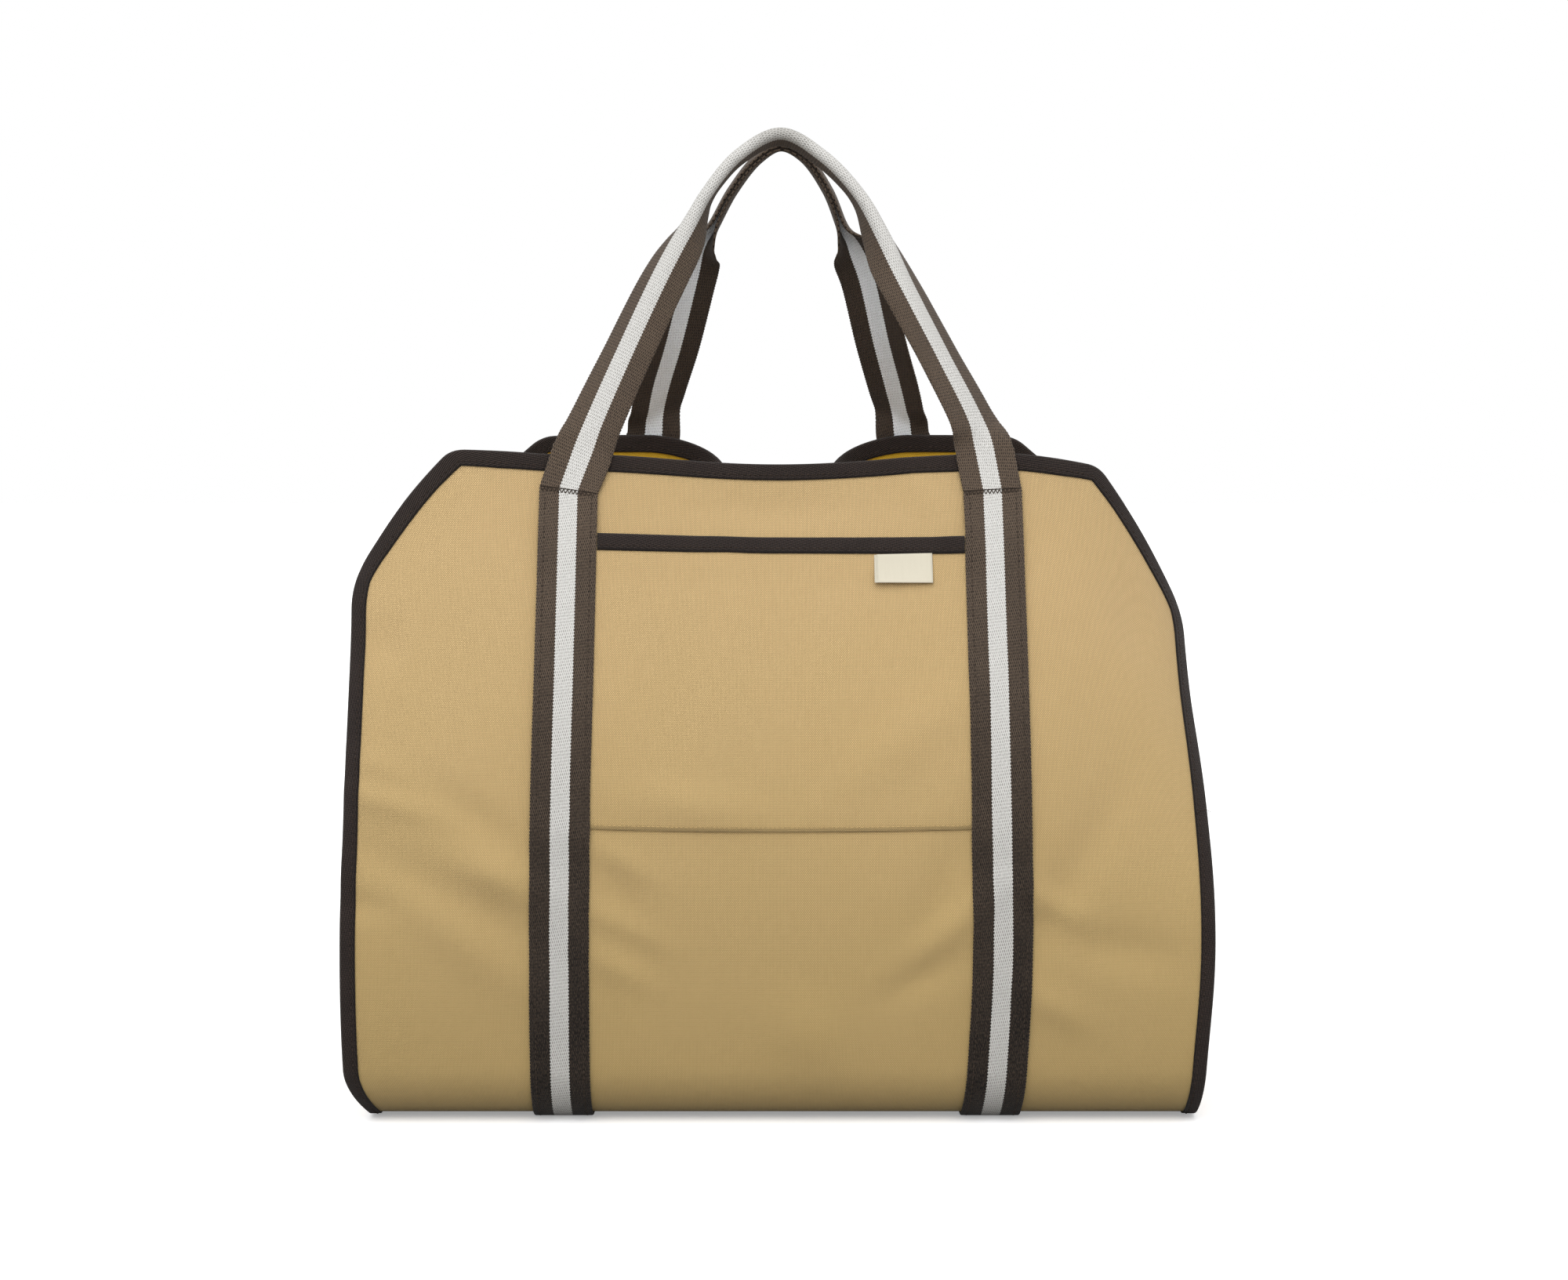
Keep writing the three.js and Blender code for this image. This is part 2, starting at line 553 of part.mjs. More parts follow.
// Ring of the webbing where it is sewn on or crosses the edge, at a share of the way from the
// tack line (0) to the tape's outer line (1). Its own left is the cloth's left where turned is 1.
function sewnRing(face, side, share, turned) {
  const travel = THREE.MathUtils.lerp(TACK + CLEARANCE, PANEL_LENGTH + LAYER + CLEARANCE, share);
  const slant = tackSlope(face, side, 'slant');
  const lean = tackSlope(face, side, 'lean');
  const centre = side * (STRAP_CENTRE - (travel - TACK) * lean);
  const slope = side * THREE.MathUtils.lerp(slant, lean, share);
  const lift = strapLift(face * TACK);
  const layer = (extra) => SECTION.map((place) => {
    const offset = turned * place;
    return liftedPoint(centre + offset, face * (travel + offset * slope), lift + extra);
  });
  return { outer: layer(WEBBING_THICKNESS), inner: layer(0) };
}

// Middle of the webbing and its outward direction at a share of the way to the tape's outer line.
function sewnFrame(face, side, share) {
  const { outer, inner } = sewnRing(face, side, share, 1);
  const middle = [outer[2], outer[3], inner[2], inner[3]];
  const point = middle.reduce((sum, corner) => sum.add(corner), new THREE.Vector3()).divideScalar(4);
  return { point, outward: outer[2].clone().sub(inner[2]).normalize(), fold: 0 };
}

// Frames of a handle's spine from its left tack line to its right one.
function handleFrames(face, table, rise) {
  const ends = (side) => [sewnFrame(face, side, 0), sewnFrame(face, side, 1)];
  const [left, right] = [ends(-1), ends(1)];
  const grip = new THREE.Vector3(0, face * GRIP_SPREAD, left[1].point.z + rise);
  const free = table.map((row) => {
    const edge = row.across < 0 ? left[1].point : right[1].point;
    const y = THREE.MathUtils.lerp(edge.y, grip.y, row.inward);
    const z = THREE.MathUtils.lerp(edge.z, grip.z, row.rise);
    return { ...row, point: new THREE.Vector3(row.across * STRAP_CENTRE, y, z) };
  });
  const frames = [...left, ...free, ...right.reverse()];
  const path = new THREE.CatmullRomCurve3(frames.map((frame) => frame.point));
  frames.forEach((frame, i) => {
    if (frame.outward) return;
    const tangent = path.getTangent(i / (frames.length - 1));
    const facing = new THREE.Vector3(0, face, 0).addScaledVector(tangent, -face * tangent.y).normalize();
    const outside = facing.clone().cross(tangent).multiplyScalar(-face);
    const turn = radians(frame.turn);
    frame.outward = facing.multiplyScalar(Math.cos(turn)).addScaledVector(outside, Math.sin(turn));
  });
  return { frames, path };
}

// Ring of the webbing at a free place of a handle, counted in frames from its start.
function freeRing({ frames, path }, place) {
  const low = frames[Math.floor(place)];
  const high = frames[Math.ceil(place)];
  const share = place - Math.floor(place);
  const spine = path.getPoint(place / (frames.length - 1));
  const tangent = path.getTangent(place / (frames.length - 1));
  const outward = low.outward.clone().lerp(high.outward, share);
  outward.addScaledVector(tangent, -outward.dot(tangent)).normalize();
  const sideways = tangent.clone().cross(outward);
  const fold = THREE.MathUtils.lerp(low.fold, high.fold, share);
  const layer = (extra) => SECTION.map((offset) => {
    const { side, behind, tilt } = foldedPlace(offset, fold);
    const across = side + Math.sin(tilt) * extra;
    const out = Math.cos(tilt) * extra - behind;
    return spine.clone().addScaledVector(sideways, across).addScaledVector(outward, out);
  });
  return { outer: layer(WEBBING_THICKNESS / 2), inner: layer(-WEBBING_THICKNESS / 2) };
}

// Handle: sewn on up to the cloth's edge, then free and folded along the path of its frames.
function handleGeometry(face, table, rise) {
  const handle = handleFrames(face, table, rise);
  const sewn = (side) => [0, 0.5, 1].map((share) => sewnRing(face, side, share, side * face));
  const free = evenSteps(1, handle.frames.length - 2, 1 / RINGS_PER_FRAME).slice(1);
  const rings = [...sewn(-1), ...free.map((place) => freeRing(handle, place)), ...sewn(1).reverse()];
  return solidBetween(rings.map((ring) => ring.outer), rings.map((ring) => ring.inner));
}

const CANVAS_COLOR = 0xc9a877;
const TAPE_COLOR = 0x3a2c24;
const WEBBING_COLOR = 0x4a3a2e;
const LABEL_COLOR = 0xe9e2cf;
const carrier = new THREE.Group();
carrier.add(
  makeMesh('canvas_body', canvasGeometry(), CANVAS_COLOR, 0.9),
  makeMesh('edge_binding', edgeTapeGeometry(), TAPE_COLOR, 0.85),
  makeMesh('pocket_panel', pocketGeometry(), CANVAS_COLOR, 0.9),
  makeMesh('pocket_binding', pocketTapeGeometry(), TAPE_COLOR, 0.85),
  makeMesh('label', labelGeometry(), LABEL_COLOR, 0.8),
  makeMesh('strap_left', strapGeometry(-1), WEBBING_COLOR, 0.85),
  makeMesh('strap_right', strapGeometry(1), WEBBING_COLOR, 0.85),
  makeMesh('handle_front', handleGeometry(-1, FRONT_HANDLE, FRONT_HANDLE_RISE), WEBBING_COLOR, 0.85),
  makeMesh('handle_back', handleGeometry(1, BACK_HANDLE, BACK_HANDLE_RISE), WEBBING_COLOR, 0.85),
);

export default carrier;
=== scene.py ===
"""Canvas log carrier: sling, tape, pocket, label, webbing straps and handles.

Sizes are millimetres and angles degrees, and every mesh is put in metres. A place on the
cloth is (across, along): across runs from left to right, along from the front edge (below
zero) over the bottom centre line (zero) to the back edge.
"""
import math

import bpy
import numpy as np
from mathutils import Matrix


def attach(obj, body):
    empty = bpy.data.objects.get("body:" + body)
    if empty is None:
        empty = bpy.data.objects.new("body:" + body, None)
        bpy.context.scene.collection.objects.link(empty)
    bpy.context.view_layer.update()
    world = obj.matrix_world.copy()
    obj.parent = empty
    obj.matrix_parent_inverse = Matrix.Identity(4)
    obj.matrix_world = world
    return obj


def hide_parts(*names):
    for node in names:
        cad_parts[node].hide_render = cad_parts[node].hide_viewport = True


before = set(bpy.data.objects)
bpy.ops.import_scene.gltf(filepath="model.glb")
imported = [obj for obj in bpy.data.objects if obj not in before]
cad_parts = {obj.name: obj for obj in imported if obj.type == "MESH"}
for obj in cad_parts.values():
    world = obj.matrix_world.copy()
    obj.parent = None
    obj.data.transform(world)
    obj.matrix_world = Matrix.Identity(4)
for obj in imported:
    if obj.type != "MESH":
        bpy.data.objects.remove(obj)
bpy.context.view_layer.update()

MM = 0.001

# Gap between two layers, and the cloth as it lies flat from its middle to one edge.
CLEARANCE = 0.32
CLOTH_WIDTH = 469
PANEL_LENGTH = 480
CLOTH_THICKNESS = 1.2
CORNER_CUT_ACROSS = 57.5
CORNER_CUT_DOWN = 70

# Tape: how far it covers the cloth's ends and the pocket, and its share of that at the sides.
TAPE_COVER = 9
POCKET_COVER = 9.6
SIDE_COVER = 0.84
TAPE_THICKNESS = 0.8

# Straps: webbing, distance of their centre lines, and tack lines below the cloth's ends.
WEBBING_WIDTH = 32
WEBBING_THICKNESS = 1.8
STRAP_SPACING = 235
TACK_DROP = 21.5

# Pocket: place below the cloth's end, tuck under each strap, and the stretch over which it and
# the straps rise to its mouth.
POCKET_DROP = 47
POCKET_LENGTH = 166
POCKET_TUCK = 8
POCKET_THICKNESS = 1
POCKET_EASE = 30

# Label: folded size, place beside the right strap, how far its lower edge stands off, and how
# far its back layer shows at the left.
LABEL_WIDTH = 30
LABEL_LENGTH = 18
LABEL_THICKNESS = 0.9
LABEL_FROM_STRAP = 18
LABEL_LIFT = 2.6
LABEL_RIBBON = 0.34
LABEL_SKEW = 1.3

# Handles: grips above the cloth's ends and off the middle plane, and radius of the folded
# webbing at its middle.
FRONT_HANDLE_RISE = 179.5
BACK_HANDLE_RISE = 166
GRIP_SPREAD = 17
FOLD_RADIUS = 2.6

# Derived places across and along the cloth, and heights above its outer face.
HALF_WIDTH = CLOTH_WIDTH / 2
STRAP_CENTRE = STRAP_SPACING / 2
STRAP_INNER = STRAP_CENTRE - WEBBING_WIDTH / 2
STRAP_OUTER = STRAP_CENTRE + WEBBING_WIDTH / 2
WING_WIDTH = HALF_WIDTH - STRAP_OUTER
POCKET_HALF = STRAP_INNER + POCKET_TUCK
TOP_HALF = HALF_WIDTH - CORNER_CUT_ACROSS
TACK = PANEL_LENGTH - TACK_DROP
POCKET_TOP = PANEL_LENGTH - POCKET_DROP
POCKET_SEAM = POCKET_TOP - POCKET_LENGTH
CUT_START = PANEL_LENGTH - CORNER_CUT_DOWN
LAYER = CLEARANCE + TAPE_THICKNESS
OVER_POCKET = CLEARANCE + POCKET_THICKNESS + CLEARANCE
MOUTH_LIFT = LAYER + CLEARANCE
OVER_MOUTH = MOUTH_LIFT + POCKET_THICKNESS + CLEARANCE
BASE_HEIGHT = CLEARANCE + WEBBING_THICKNESS
BENT_HALF = FOLD_RADIUS * math.pi / 2

# How far the pocket's taped edge hangs below its line, at the left and more at the right, and
# how far its bottom seam lies below its own line in the middle, and less towards the straps.
POCKET_HANG = 0.6
POCKET_DROOP = 2.2
HEM_HANG = 2.6
HEM_BOW = 1.6

# Slant of the tack lines and lean of the handles in degrees, keyed by face (-1 front, 1 back)
# and side (-1 left, 1 right).
TACKS = {
    (-1, -1): {"slant": 8, "lean": 18},
    (-1, 1): {"slant": 3, "lean": 9},
    (1, -1): {"slant": 1, "lean": 2},
    (1, 1): {"slant": 1, "lean": 2},
}

# Direction of the cloth along a panel, as shares of its length and angles from the floor.
FRONT_PROFILE = {
    "run": [0, 0.18, 0.28, 0.47, 0.72, 0.88, 1],
    "lean": [0, 0, 78, 90, 112, 117, 108],
}
BACK_PROFILE = {
    "run": [0, 0.18, 0.28, 0.47, 0.72, 1],
    "lean": [0, 0, 78, 89, 100, 98],
}

# How each panel departs from its profile: shares of half the strap spacing for gather, sag and
# fold, and of the wing's width for curl, tuck and lift.
FRONT_SHAPE = {
    "run": [0, 0.2, 0.28, 0.42, 0.58, 0.74, 0.86, 1],
    "gather_left": [0.008, 0.008, 0.005, 0.007, 0.012, 0.02, 0.021, 0.021],
    "gather_right": [0.01, 0.015, -0.005, -0.026, -0.02, -0.013, -0.009, -0.004],
    "sag": [0, 0, 0, 0, 0, 0, 0.014, 0.05],
    "fold": [0, 0, 0, 0, 0, 0, 0, 0],
    "curl_left": [0, 0, 0, 0.03, 0.1, 0.14, 0.18, 0.24],
    "curl_right": [0, 0, 0, 0.04, 0.2, 0.34, 0.38, 0.42],
    "tuck_left": [0.05, 0.11, 0.01, 0, 0, -0.01, -0.04, -0.33],
    "tuck_right": [0.03, 0.05, 0.05, 0.035, 0.03, 0.03, 0.02, -0.06],
    "lift_left": [0, 0, 0, 0, 0, 0.02, 0.05, 0.09],
    "lift_right": [0, 0, 0, 0, 0, 0, -0.05, -0.1],
}
BACK_SHAPE = {
    "run": [0, 0.28, 0.55, 0.78, 1],
    "gather_left": [0.008, 0, 0.02, 0.15, 0.36],
    "gather_right": [0.01, 0, 0.02, 0.15, 0.36],
    "sag": [0, 0, 0, 0.09, 0.34],
    "fold": [0, 0, 0.06, 0.25, 0.48],
    "curl_left": [0, 0, 0.06, 0.16, 0.26],
    "curl_right": [0, 0, 0.06, 0.16, 0.26],
    "tuck_left": [0.05, 0, 0, 0, -0.3],
    "tuck_right": [0.03, 0, 0, 0, -0.3],
    "lift_left": [0, 0, 0, 0, 0],
    "lift_right": [0, 0, 0, 0, 0],
}
# Half widths of the sag and of the fold, as shares of half the strap spacing.
SAG_REACH = 1.03
FOLD_REACH = 0.79

# Dents of the front panel: shares of half the width and of the panel's length, turn in
# degrees, depth a share of the deepest dent, below zero where the cloth stands out.
DENT_DEPTH = 3
DENTS = [
    {"across": -0.93, "along": 0.775, "wide": 0.045, "long": 0.03, "turn": 20, "depth": 1},
    {"across": -0.83, "along": 0.5, "wide": 0.05, "long": 0.14, "turn": 62, "depth": 0.9},
    {"across": -0.72, "along": 0.43, "wide": 0.05, "long": 0.12, "turn": 50, "depth": -0.6},
    {"across": -0.36, "along": 0.47, "wide": 0.045, "long": 0.1, "turn": 20, "depth": 0.8},
    {"across": 0.38, "along": 0.5, "wide": 0.045, "long": 0.1, "turn": -20, "depth": 0.8},
    {"across": 0.66, "along": 0.5, "wide": 0.05, "long": 0.13, "turn": -30, "depth": 0.9},
    {"across": 0.36, "along": 0.94, "wide": 0.04, "long": 0.07, "turn": 30, "depth": -0.6},
]

# Smaller creases, in the same columns, which only show in the light.
CREASES = [
    {"across": -0.905, "along": 0.585, "wide": 0.03, "long": 0.06, "turn": 72, "depth": -0.94},
    {"across": -0.93, "along": 0.628, "wide": 0.03, "long": 0.04, "turn": 66, "depth": -0.59},
    {"across": -0.7, "along": 0.57, "wide": 0.035, "long": 0.055, "turn": 50, "depth": 0.77},
    {"across": -0.64, "along": 0.5, "wide": 0.045, "long": 0.05, "turn": 64, "depth": -1.36},
    {"across": -0.96, "along": 0.47, "wide": 0.03, "long": 0.035, "turn": 75, "depth": 0.68},
    {"across": -0.374, "along": 0.522, "wide": 0.03, "long": 0.05, "turn": 60, "depth": -0.77},
    {"across": -0.36, "along": 0.448, "wide": 0.03, "long": 0.05, "turn": 62, "depth": -0.85},
    {"across": -0.37, "along": 0.398, "wide": 0.03, "long": 0.045, "turn": 60, "depth": -0.68},
    {"across": 0.385, "along": 0.445, "wide": 0.035, "long": 0.07, "turn": -50, "depth": -0.94},
    {"across": 0.33, "along": 0.39, "wide": 0.035, "long": 0.05, "turn": -62, "depth": 0.59},
    {"across": 0.07, "along": 0.32, "wide": 0.08, "long": 0.05, "turn": 40, "depth": -0.85},
    {"across": -0.26, "along": 0.7, "wide": 0.07, "long": 0.12, "turn": 12, "depth": 0.77},
    {"across": -0.1, "along": 0.8, "wide": 0.05, "long": 0.09, "turn": 10, "depth": -0.59},
    {"across": 0.3, "along": 0.66, "wide": 0.06, "long": 0.1, "turn": -50, "depth": -0.68},
    {"across": -0.2, "along": 0.58, "wide": 0.05, "long": 0.07, "turn": 80, "depth": -0.85},
    {"across": 0.0, "along": 0.945, "wide": 0.16, "long": 0.022, "turn": 0, "depth": 0.68},
    {"across": 0.84, "along": 0.81, "wide": 0.06, "long": 0.07, "turn": 20, "depth": 1.02},
    {"across": 0.75, "along": 0.62, "wide": 0.11, "long": 0.17, "turn": 5, "depth": 1.36},
    {"across": 0.615, "along": 0.47, "wide": 0.03, "long": 0.045, "turn": 60, "depth": -0.85},
    {"across": 0.77, "along": 0.42, "wide": 0.05, "long": 0.07, "turn": 80, "depth": 0.85},
    {"across": 0.62, "along": 0.355, "wide": 0.035, "long": 0.045, "turn": 60, "depth": -0.77},
    {"across": -0.78, "along": 0.72, "wide": 0.12, "long": 0.12, "turn": 0, "depth": 0.85},
]

# Handles from left to right: across as a share of half the strap spacing, rise and inward as
# shares of the way from the cloth's edge to the grip, turn of the webbing's face towards the
# outside of the arch, and fold of its sides towards each other.
FRONT_HANDLE = {
    "across": [-0.866, -0.725, -0.576, -0.495, -0.465, -0.39, -0.347, -0.19, 0.015, 0.216, 0.394,
               0.506, 0.611, 0.774, 0.936],
    "rise": [0.088, 0.306, 0.523, 0.632, 0.67, 0.757, 0.803, 0.93, 1, 0.93, 0.805, 0.678, 0.523,
             0.306, 0.088],
    "inward": [0.11, 0.34, 0.55, 0.66, 0.7, 0.785, 0.82, 0.94, 1, 0.94, 0.82, 0.7, 0.55, 0.34,
               0.11],
    "turn": [18, 25, 24, 26, 26, 16, 9, 13, 22, 20, 15, 24, 42, 45, 38],
    "fold": [18, 40, 60, 78, 98, 168, 190, 190, 190, 190, 190, 130, 50, 28, 20],
}
BACK_HANDLE = {
    "across": [-0.628, -0.595, -0.524, -0.436, -0.404, -0.373, -0.323, -0.216, -0.09, 0.015, 0.12,
               0.24, 0.32, 0.361, 0.388, 0.438, 0.521, 0.585, 0.624],
    "rise": [0.055, 0.16, 0.317, 0.55, 0.635, 0.672, 0.712, 0.839, 0.945, 0.984, 0.95, 0.839,
             0.712, 0.672, 0.635, 0.55, 0.317, 0.16, 0.055],
    "inward": [0.03, 0.16, 0.35, 0.58, 0.66, 0.695, 0.73, 0.85, 0.95, 1, 0.96, 0.85, 0.73, 0.695,
               0.66, 0.58, 0.35, 0.16, 0.03],
    "turn": [34, 24, 22, 22, 16, 10, 6, 2, 6, 10, 6, 4, 8, 12, 16, 24, 26, 26, 34],
    "fold": [0, 8, 16, 24, 52, 120, 188, 195, 195, 195, 195, 195, 188, 120, 52, 24, 16, 8, 0],
}

# Stretch beside a corner over which the tape turns, and lengths over which the outline bends
# at the top corners and at the elbows below them.
CORNER_REACH = 22
TOP_ROUNDING = 5
ELBOW_ROUNDING = 12

# Spacing of the points that carry the fine shape.
CLOTH_STEP = 3.5
WEBBING_STEP = 0.65
TAPE_STEP = 2
SCALLOP_PITCH = 1.77
SCALLOP_DEPTH = 0.3

# Webbing: half of the pale stripe, the stretch at a tack line over which the weave's rows turn
# to its slant, the stretch over which a handle leaves the cloth, and the numbers of rings to
# each side over which the handles' directions and folds are smoothed.
STRIPE_HALF = 5.1
SLANT_REACH = 14
LEAVING_REACH = 16
TURN_SMOOTHING = 14
FOLD_SMOOTHING = 16

# Where the grip's middle lies on a handle's flat length, far from the straps' places.
GRIP_PLACE = 2000

# Seams: stitches, distances from the edges that they follow, and heights above the cloth.
STITCH_LENGTH = 2.3
STITCH_STEP = 2.9
HEM_STITCH_LENGTH = 1.7
HEM_STITCH_STEP = 2.6
TAPE_SEAM_INSET = 2.9
HEM_SEAM_INSET = 2.2
STRAP_SEAM = 12.8
TAPE_FACE = LAYER - 0.14
TACK_LINE = 0.35
ZIGZAG_PITCH = 2.1
ZIGZAG_DEPTH = 2.4

# Loose thread: where it comes out of the tape, how it runs in space, the height of its arc and
# its radius at the root.
THREAD_IN = 7
THREAD_ALONG = -275
THREAD_RUN = (7.5, -2.5, 0)
THREAD_ARC = 2.2
THREAD_RADIUS = 0.2


def ease(value, low, high):
    """Share of the way from low to high, eased: 3 s^2 - 2 s^3."""
    share = np.clip((value - low) / (high - low), 0, 1)
    return share * share * (3 - 2 * share)


def lookup(table, name, run):
    """Value of a table's column at each run: a cubic from row to row. Its slope at a row is the
    harmonic mean of the two neighbouring stretches' slopes, or level where the values turn."""
    rows = np.array(table["run"], float)
    values = np.array(table[name], float)
    width = np.diff(rows)
    steep = np.diff(values) / width
    same = steep[1:] * steep[:-1] > 0
    mean = np.where(same, 2 * steep[1:] * steep[:-1] / np.where(same, steep[1:] + steep[:-1], 1), 0)
    slope = np.concatenate([steep[:1], mean, steep[-1:]])
    low = np.clip(np.searchsorted(rows, run, side="right") - 1, 0, len(rows) - 2)
    share = np.clip((run - rows[low]) / width[low], 0, 1)
    step = values[low + 1] - values[low]
    first = slope[low] * width[low]
    last = slope[low + 1] * width[low]
    square = 3 * step - 2 * first - last
    return values[low] + share * (first + share * (square + share * (first + last - 2 * step)))


def profile_point(profile, travel):
    """Out, up and lean after a travel: the sum of whole stretches, each a line or an arc of
    radius 1 / bend, and the part of the stretch that the travel ends in."""
    start = np.array(profile["run"]) * PANEL_LENGTH
    lean = np.radians(profile["lean"])
    bend = np.diff(lean) / np.diff(start)

    def stretch(index, step):
        first = lean[index]
        last = first + bend[index] * step
        turning = np.abs(bend[index]) > 1e-12
        radius = 1 / np.where(turning, bend[index], 1)
        out = np.where(turning, (np.sin(last) - np.sin(first)) * radius, np.cos(first) * step)
        up = np.where(turning, (np.cos(first) - np.cos(last)) * radius, np.sin(first) * step)
        return out, up, last

    whole_out, whole_up, _ = stretch(np.arange(len(bend)), np.diff(start))
    index = np.clip(np.searchsorted(start, travel, side="right") - 1, 0, len(bend) - 1)
    out, up, last = stretch(index, travel - start[index])
    before_out = np.concatenate([[0], np.cumsum(whole_out)])[index]
    before_up = np.concatenate([[0], np.cumsum(whole_up)])[index]
    return before_out + out, before_up + up, last


def dent_depth(across, travel, dents):
    """Depth of a panel's dents: a sum of turned Gaussian bumps."""
    depth = np.zeros(np.shape(across))
    for dent in dents:
        dx = across - dent["across"] * HALF_WIDTH
        dt = travel - dent["along"] * PANEL_LENGTH
        cos = math.cos(math.radians(dent["turn"]))
        sin = math.sin(math.radians(dent["turn"]))
        u = (dx * cos + dt * sin) / (dent["wide"] * HALF_WIDTH)
        v = (dt * cos - dx * sin) / (dent["long"] * PANEL_LENGTH)
        depth += DENT_DEPTH * dent["depth"] * np.exp(-u * u - v * v)
    return depth


def bell(x):
    """Rounded bump: the squared cosine of a quarter turn, 0 from x = 1 outward."""
    return np.where(np.abs(x) < 1, np.cos(x * np.pi / 2) ** 2, 0)


def cloth_point(across, along):
    """Point on the cloth's outer face: the profile at its travel, moved by the gather, tuck and
    shortening across, by the sag and lift upward, and by the fold and curl inward."""
    across, along = np.broadcast_arrays(np.asarray(across, float), np.asarray(along, float))
    front = along < 0
    left = across < 0
    travel = np.abs(along)
    reach = np.abs(across)
    run = travel / PANEL_LENGTH

    def shape(name):
        return np.where(front, lookup(FRONT_SHAPE, name, run), lookup(BACK_SHAPE, name, run))

    def sided(name):
        return np.where(left, shape(name + "_left"), shape(name + "_right"))

    front_place = profile_point(FRONT_PROFILE, travel)
    back_place = profile_point(BACK_PROFILE, travel)
    out, up, lean = (np.where(front, a, b) for a, b in zip(front_place, back_place))
    inner = np.minimum(reach / STRAP_INNER, 1)
    drawn = inner - np.sin(2 * np.pi * inner) / (2 * np.pi)
    gather = sided("gather") * STRAP_CENTRE * drawn
    wing = np.maximum(0, reach - STRAP_OUTER) / WING_WIDTH
    curl = sided("curl") * WING_WIDTH
    tuck = sided("tuck") * WING_WIDTH * wing * wing
    lift = sided("lift") * WING_WIDTH * wing
    shortened = 2 / 3 * curl * curl * wing**3 / WING_WIDTH
    sag = shape("sag") * STRAP_CENTRE * bell(reach / (SAG_REACH * STRAP_CENTRE))
    fold = shape("fold") * STRAP_CENTRE * bell(reach / (FOLD_REACH * STRAP_CENTRE))
    front_dents = dent_depth(across, travel, DENTS + CREASES)
    back_dents = dent_depth(-across, travel, CREASES) * ease(CUT_START - travel, -20, 40)
    inward = curl * wing * wing + np.where(front, front_dents, back_dents)
    x = np.sign(across) * (reach - gather - tuck - shortened)
    y = out - fold - np.sin(lean) * inward
    z = BASE_HEIGHT + up + lift - sag + np.cos(lean) * inward
    return np.stack([x, np.where(front, -y, y), z], -1)


def unit(vectors):
    """Vectors divided by their lengths."""
    return vectors / np.linalg.norm(vectors, axis=-1, keepdims=True)


def cloth_frame(across, along):
    """Point, direction along and outward normal of the cloth, from its slopes."""
    step = 0.5
    across_slope = cloth_point(across + step, along) - cloth_point(across - step, along)
    along_slope = cloth_point(across, along + step) - cloth_point(across, along - step)
    normal = unit(np.cross(along_slope, across_slope))
    return cloth_point(across, along), unit(along_slope), normal


def lifted_point(across, along, height):
    """Point at a height above the cloth's outer face, along its normal."""
    across, along, height = np.broadcast_arrays(
        np.asarray(across, float), np.asarray(along, float), np.asarray(height, float)
    )
    point, _, normal = cloth_frame(across, along)
    return point + normal * height[..., None]


def rounded(across, along):
    """Places on the flat cloth, moved in near its eight corners so that the outline bends
    there. Where the distances to two edges differ by less than a size, both grow by a quarter
    of that size times the squared share that is left, which fades away from the edges."""
    reach = np.abs(across)
    travel = np.abs(along)
    ratio = CORNER_CUT_ACROSS / CORNER_CUT_DOWN
    slant = math.hypot(1, ratio)
    top = PANEL_LENGTH - travel
    cut = (HALF_WIDTH - (travel - CUT_START) * ratio - reach) / slant
    side = HALF_WIDTH - reach
    into_top = np.array([0, -1.0])
    into_cut = np.array([-1.0, -ratio]) / slant
    into_side = np.array([-1.0, 0])
    moved = np.stack([reach, travel], -1)
    for first, second, one, other, size in (
        (top, cut, into_top, into_cut, TOP_ROUNDING),
        (cut, side, into_cut, into_side, ELBOW_ROUNDING),
    ):
        near = np.maximum(0, 1 - np.abs(first - second) / size) ** 2
        fade = ease(-np.minimum(first, second), -2 * size, 0)
        push = size / 4 * near * fade
        moved = moved + push[..., None] * (one + other) / (1 + one @ other)
    return np.sign(across) * moved[..., 0], np.sign(along) * moved[..., 1]


def half_width_at(travel):
    """Half the cloth's width, less the corners' straight cuts."""
    return HALF_WIDTH - np.maximum(0, travel - CUT_START) / CORNER_CUT_DOWN * CORNER_CUT_ACROSS


def pocket_top(across):
    """Travel of the pocket's taped edge, which hangs lower towards the right."""
    return POCKET_TOP - POCKET_HANG - POCKET_DROOP * ease(across, 0, STRAP_INNER)


def pocket_seam(across):
    """Travel of the pocket's bottom seam, which bows down in the middle."""
    return POCKET_SEAM - HEM_HANG + HEM_BOW * (across / STRAP_INNER) ** 2


def pocket_lift(travel):
    """Height of the pocket's inner face above the cloth: it stands off at its taped top."""
    share = ease(travel, POCKET_TOP - POCKET_EASE, POCKET_TOP - TAPE_COVER)
    return CLEARANCE + (MOUTH_LIFT - CLEARANCE) * share


def strap_lift(along):
    """Height of the straps' inner face above the cloth, over the pocket and its mouth in front
    and up to the handles' height behind."""
    travel = np.abs(along)
    rim = CLEARANCE + (OVER_POCKET - CLEARANCE) * ease(travel, TACK - POCKET_EASE, TACK)
    seam = ease(travel, POCKET_SEAM - 24, POCKET_SEAM)
    pocket = CLEARANCE + (OVER_POCKET - CLEARANCE) * seam
    mouth = ease(travel, POCKET_TOP - POCKET_EASE, POCKET_TOP - TAPE_COVER)
    mouth = mouth * (1 - ease(travel, POCKET_TOP, TACK))
    return np.where(np.asarray(along) > 0, rim, pocket + (OVER_MOUTH - OVER_POCKET) * mouth)


def stops(first, last, step):
    """Places from first to last in even steps of about one size."""
    return np.linspace(first, last, max(2, int(round(abs(last - first) / step)) + 1))


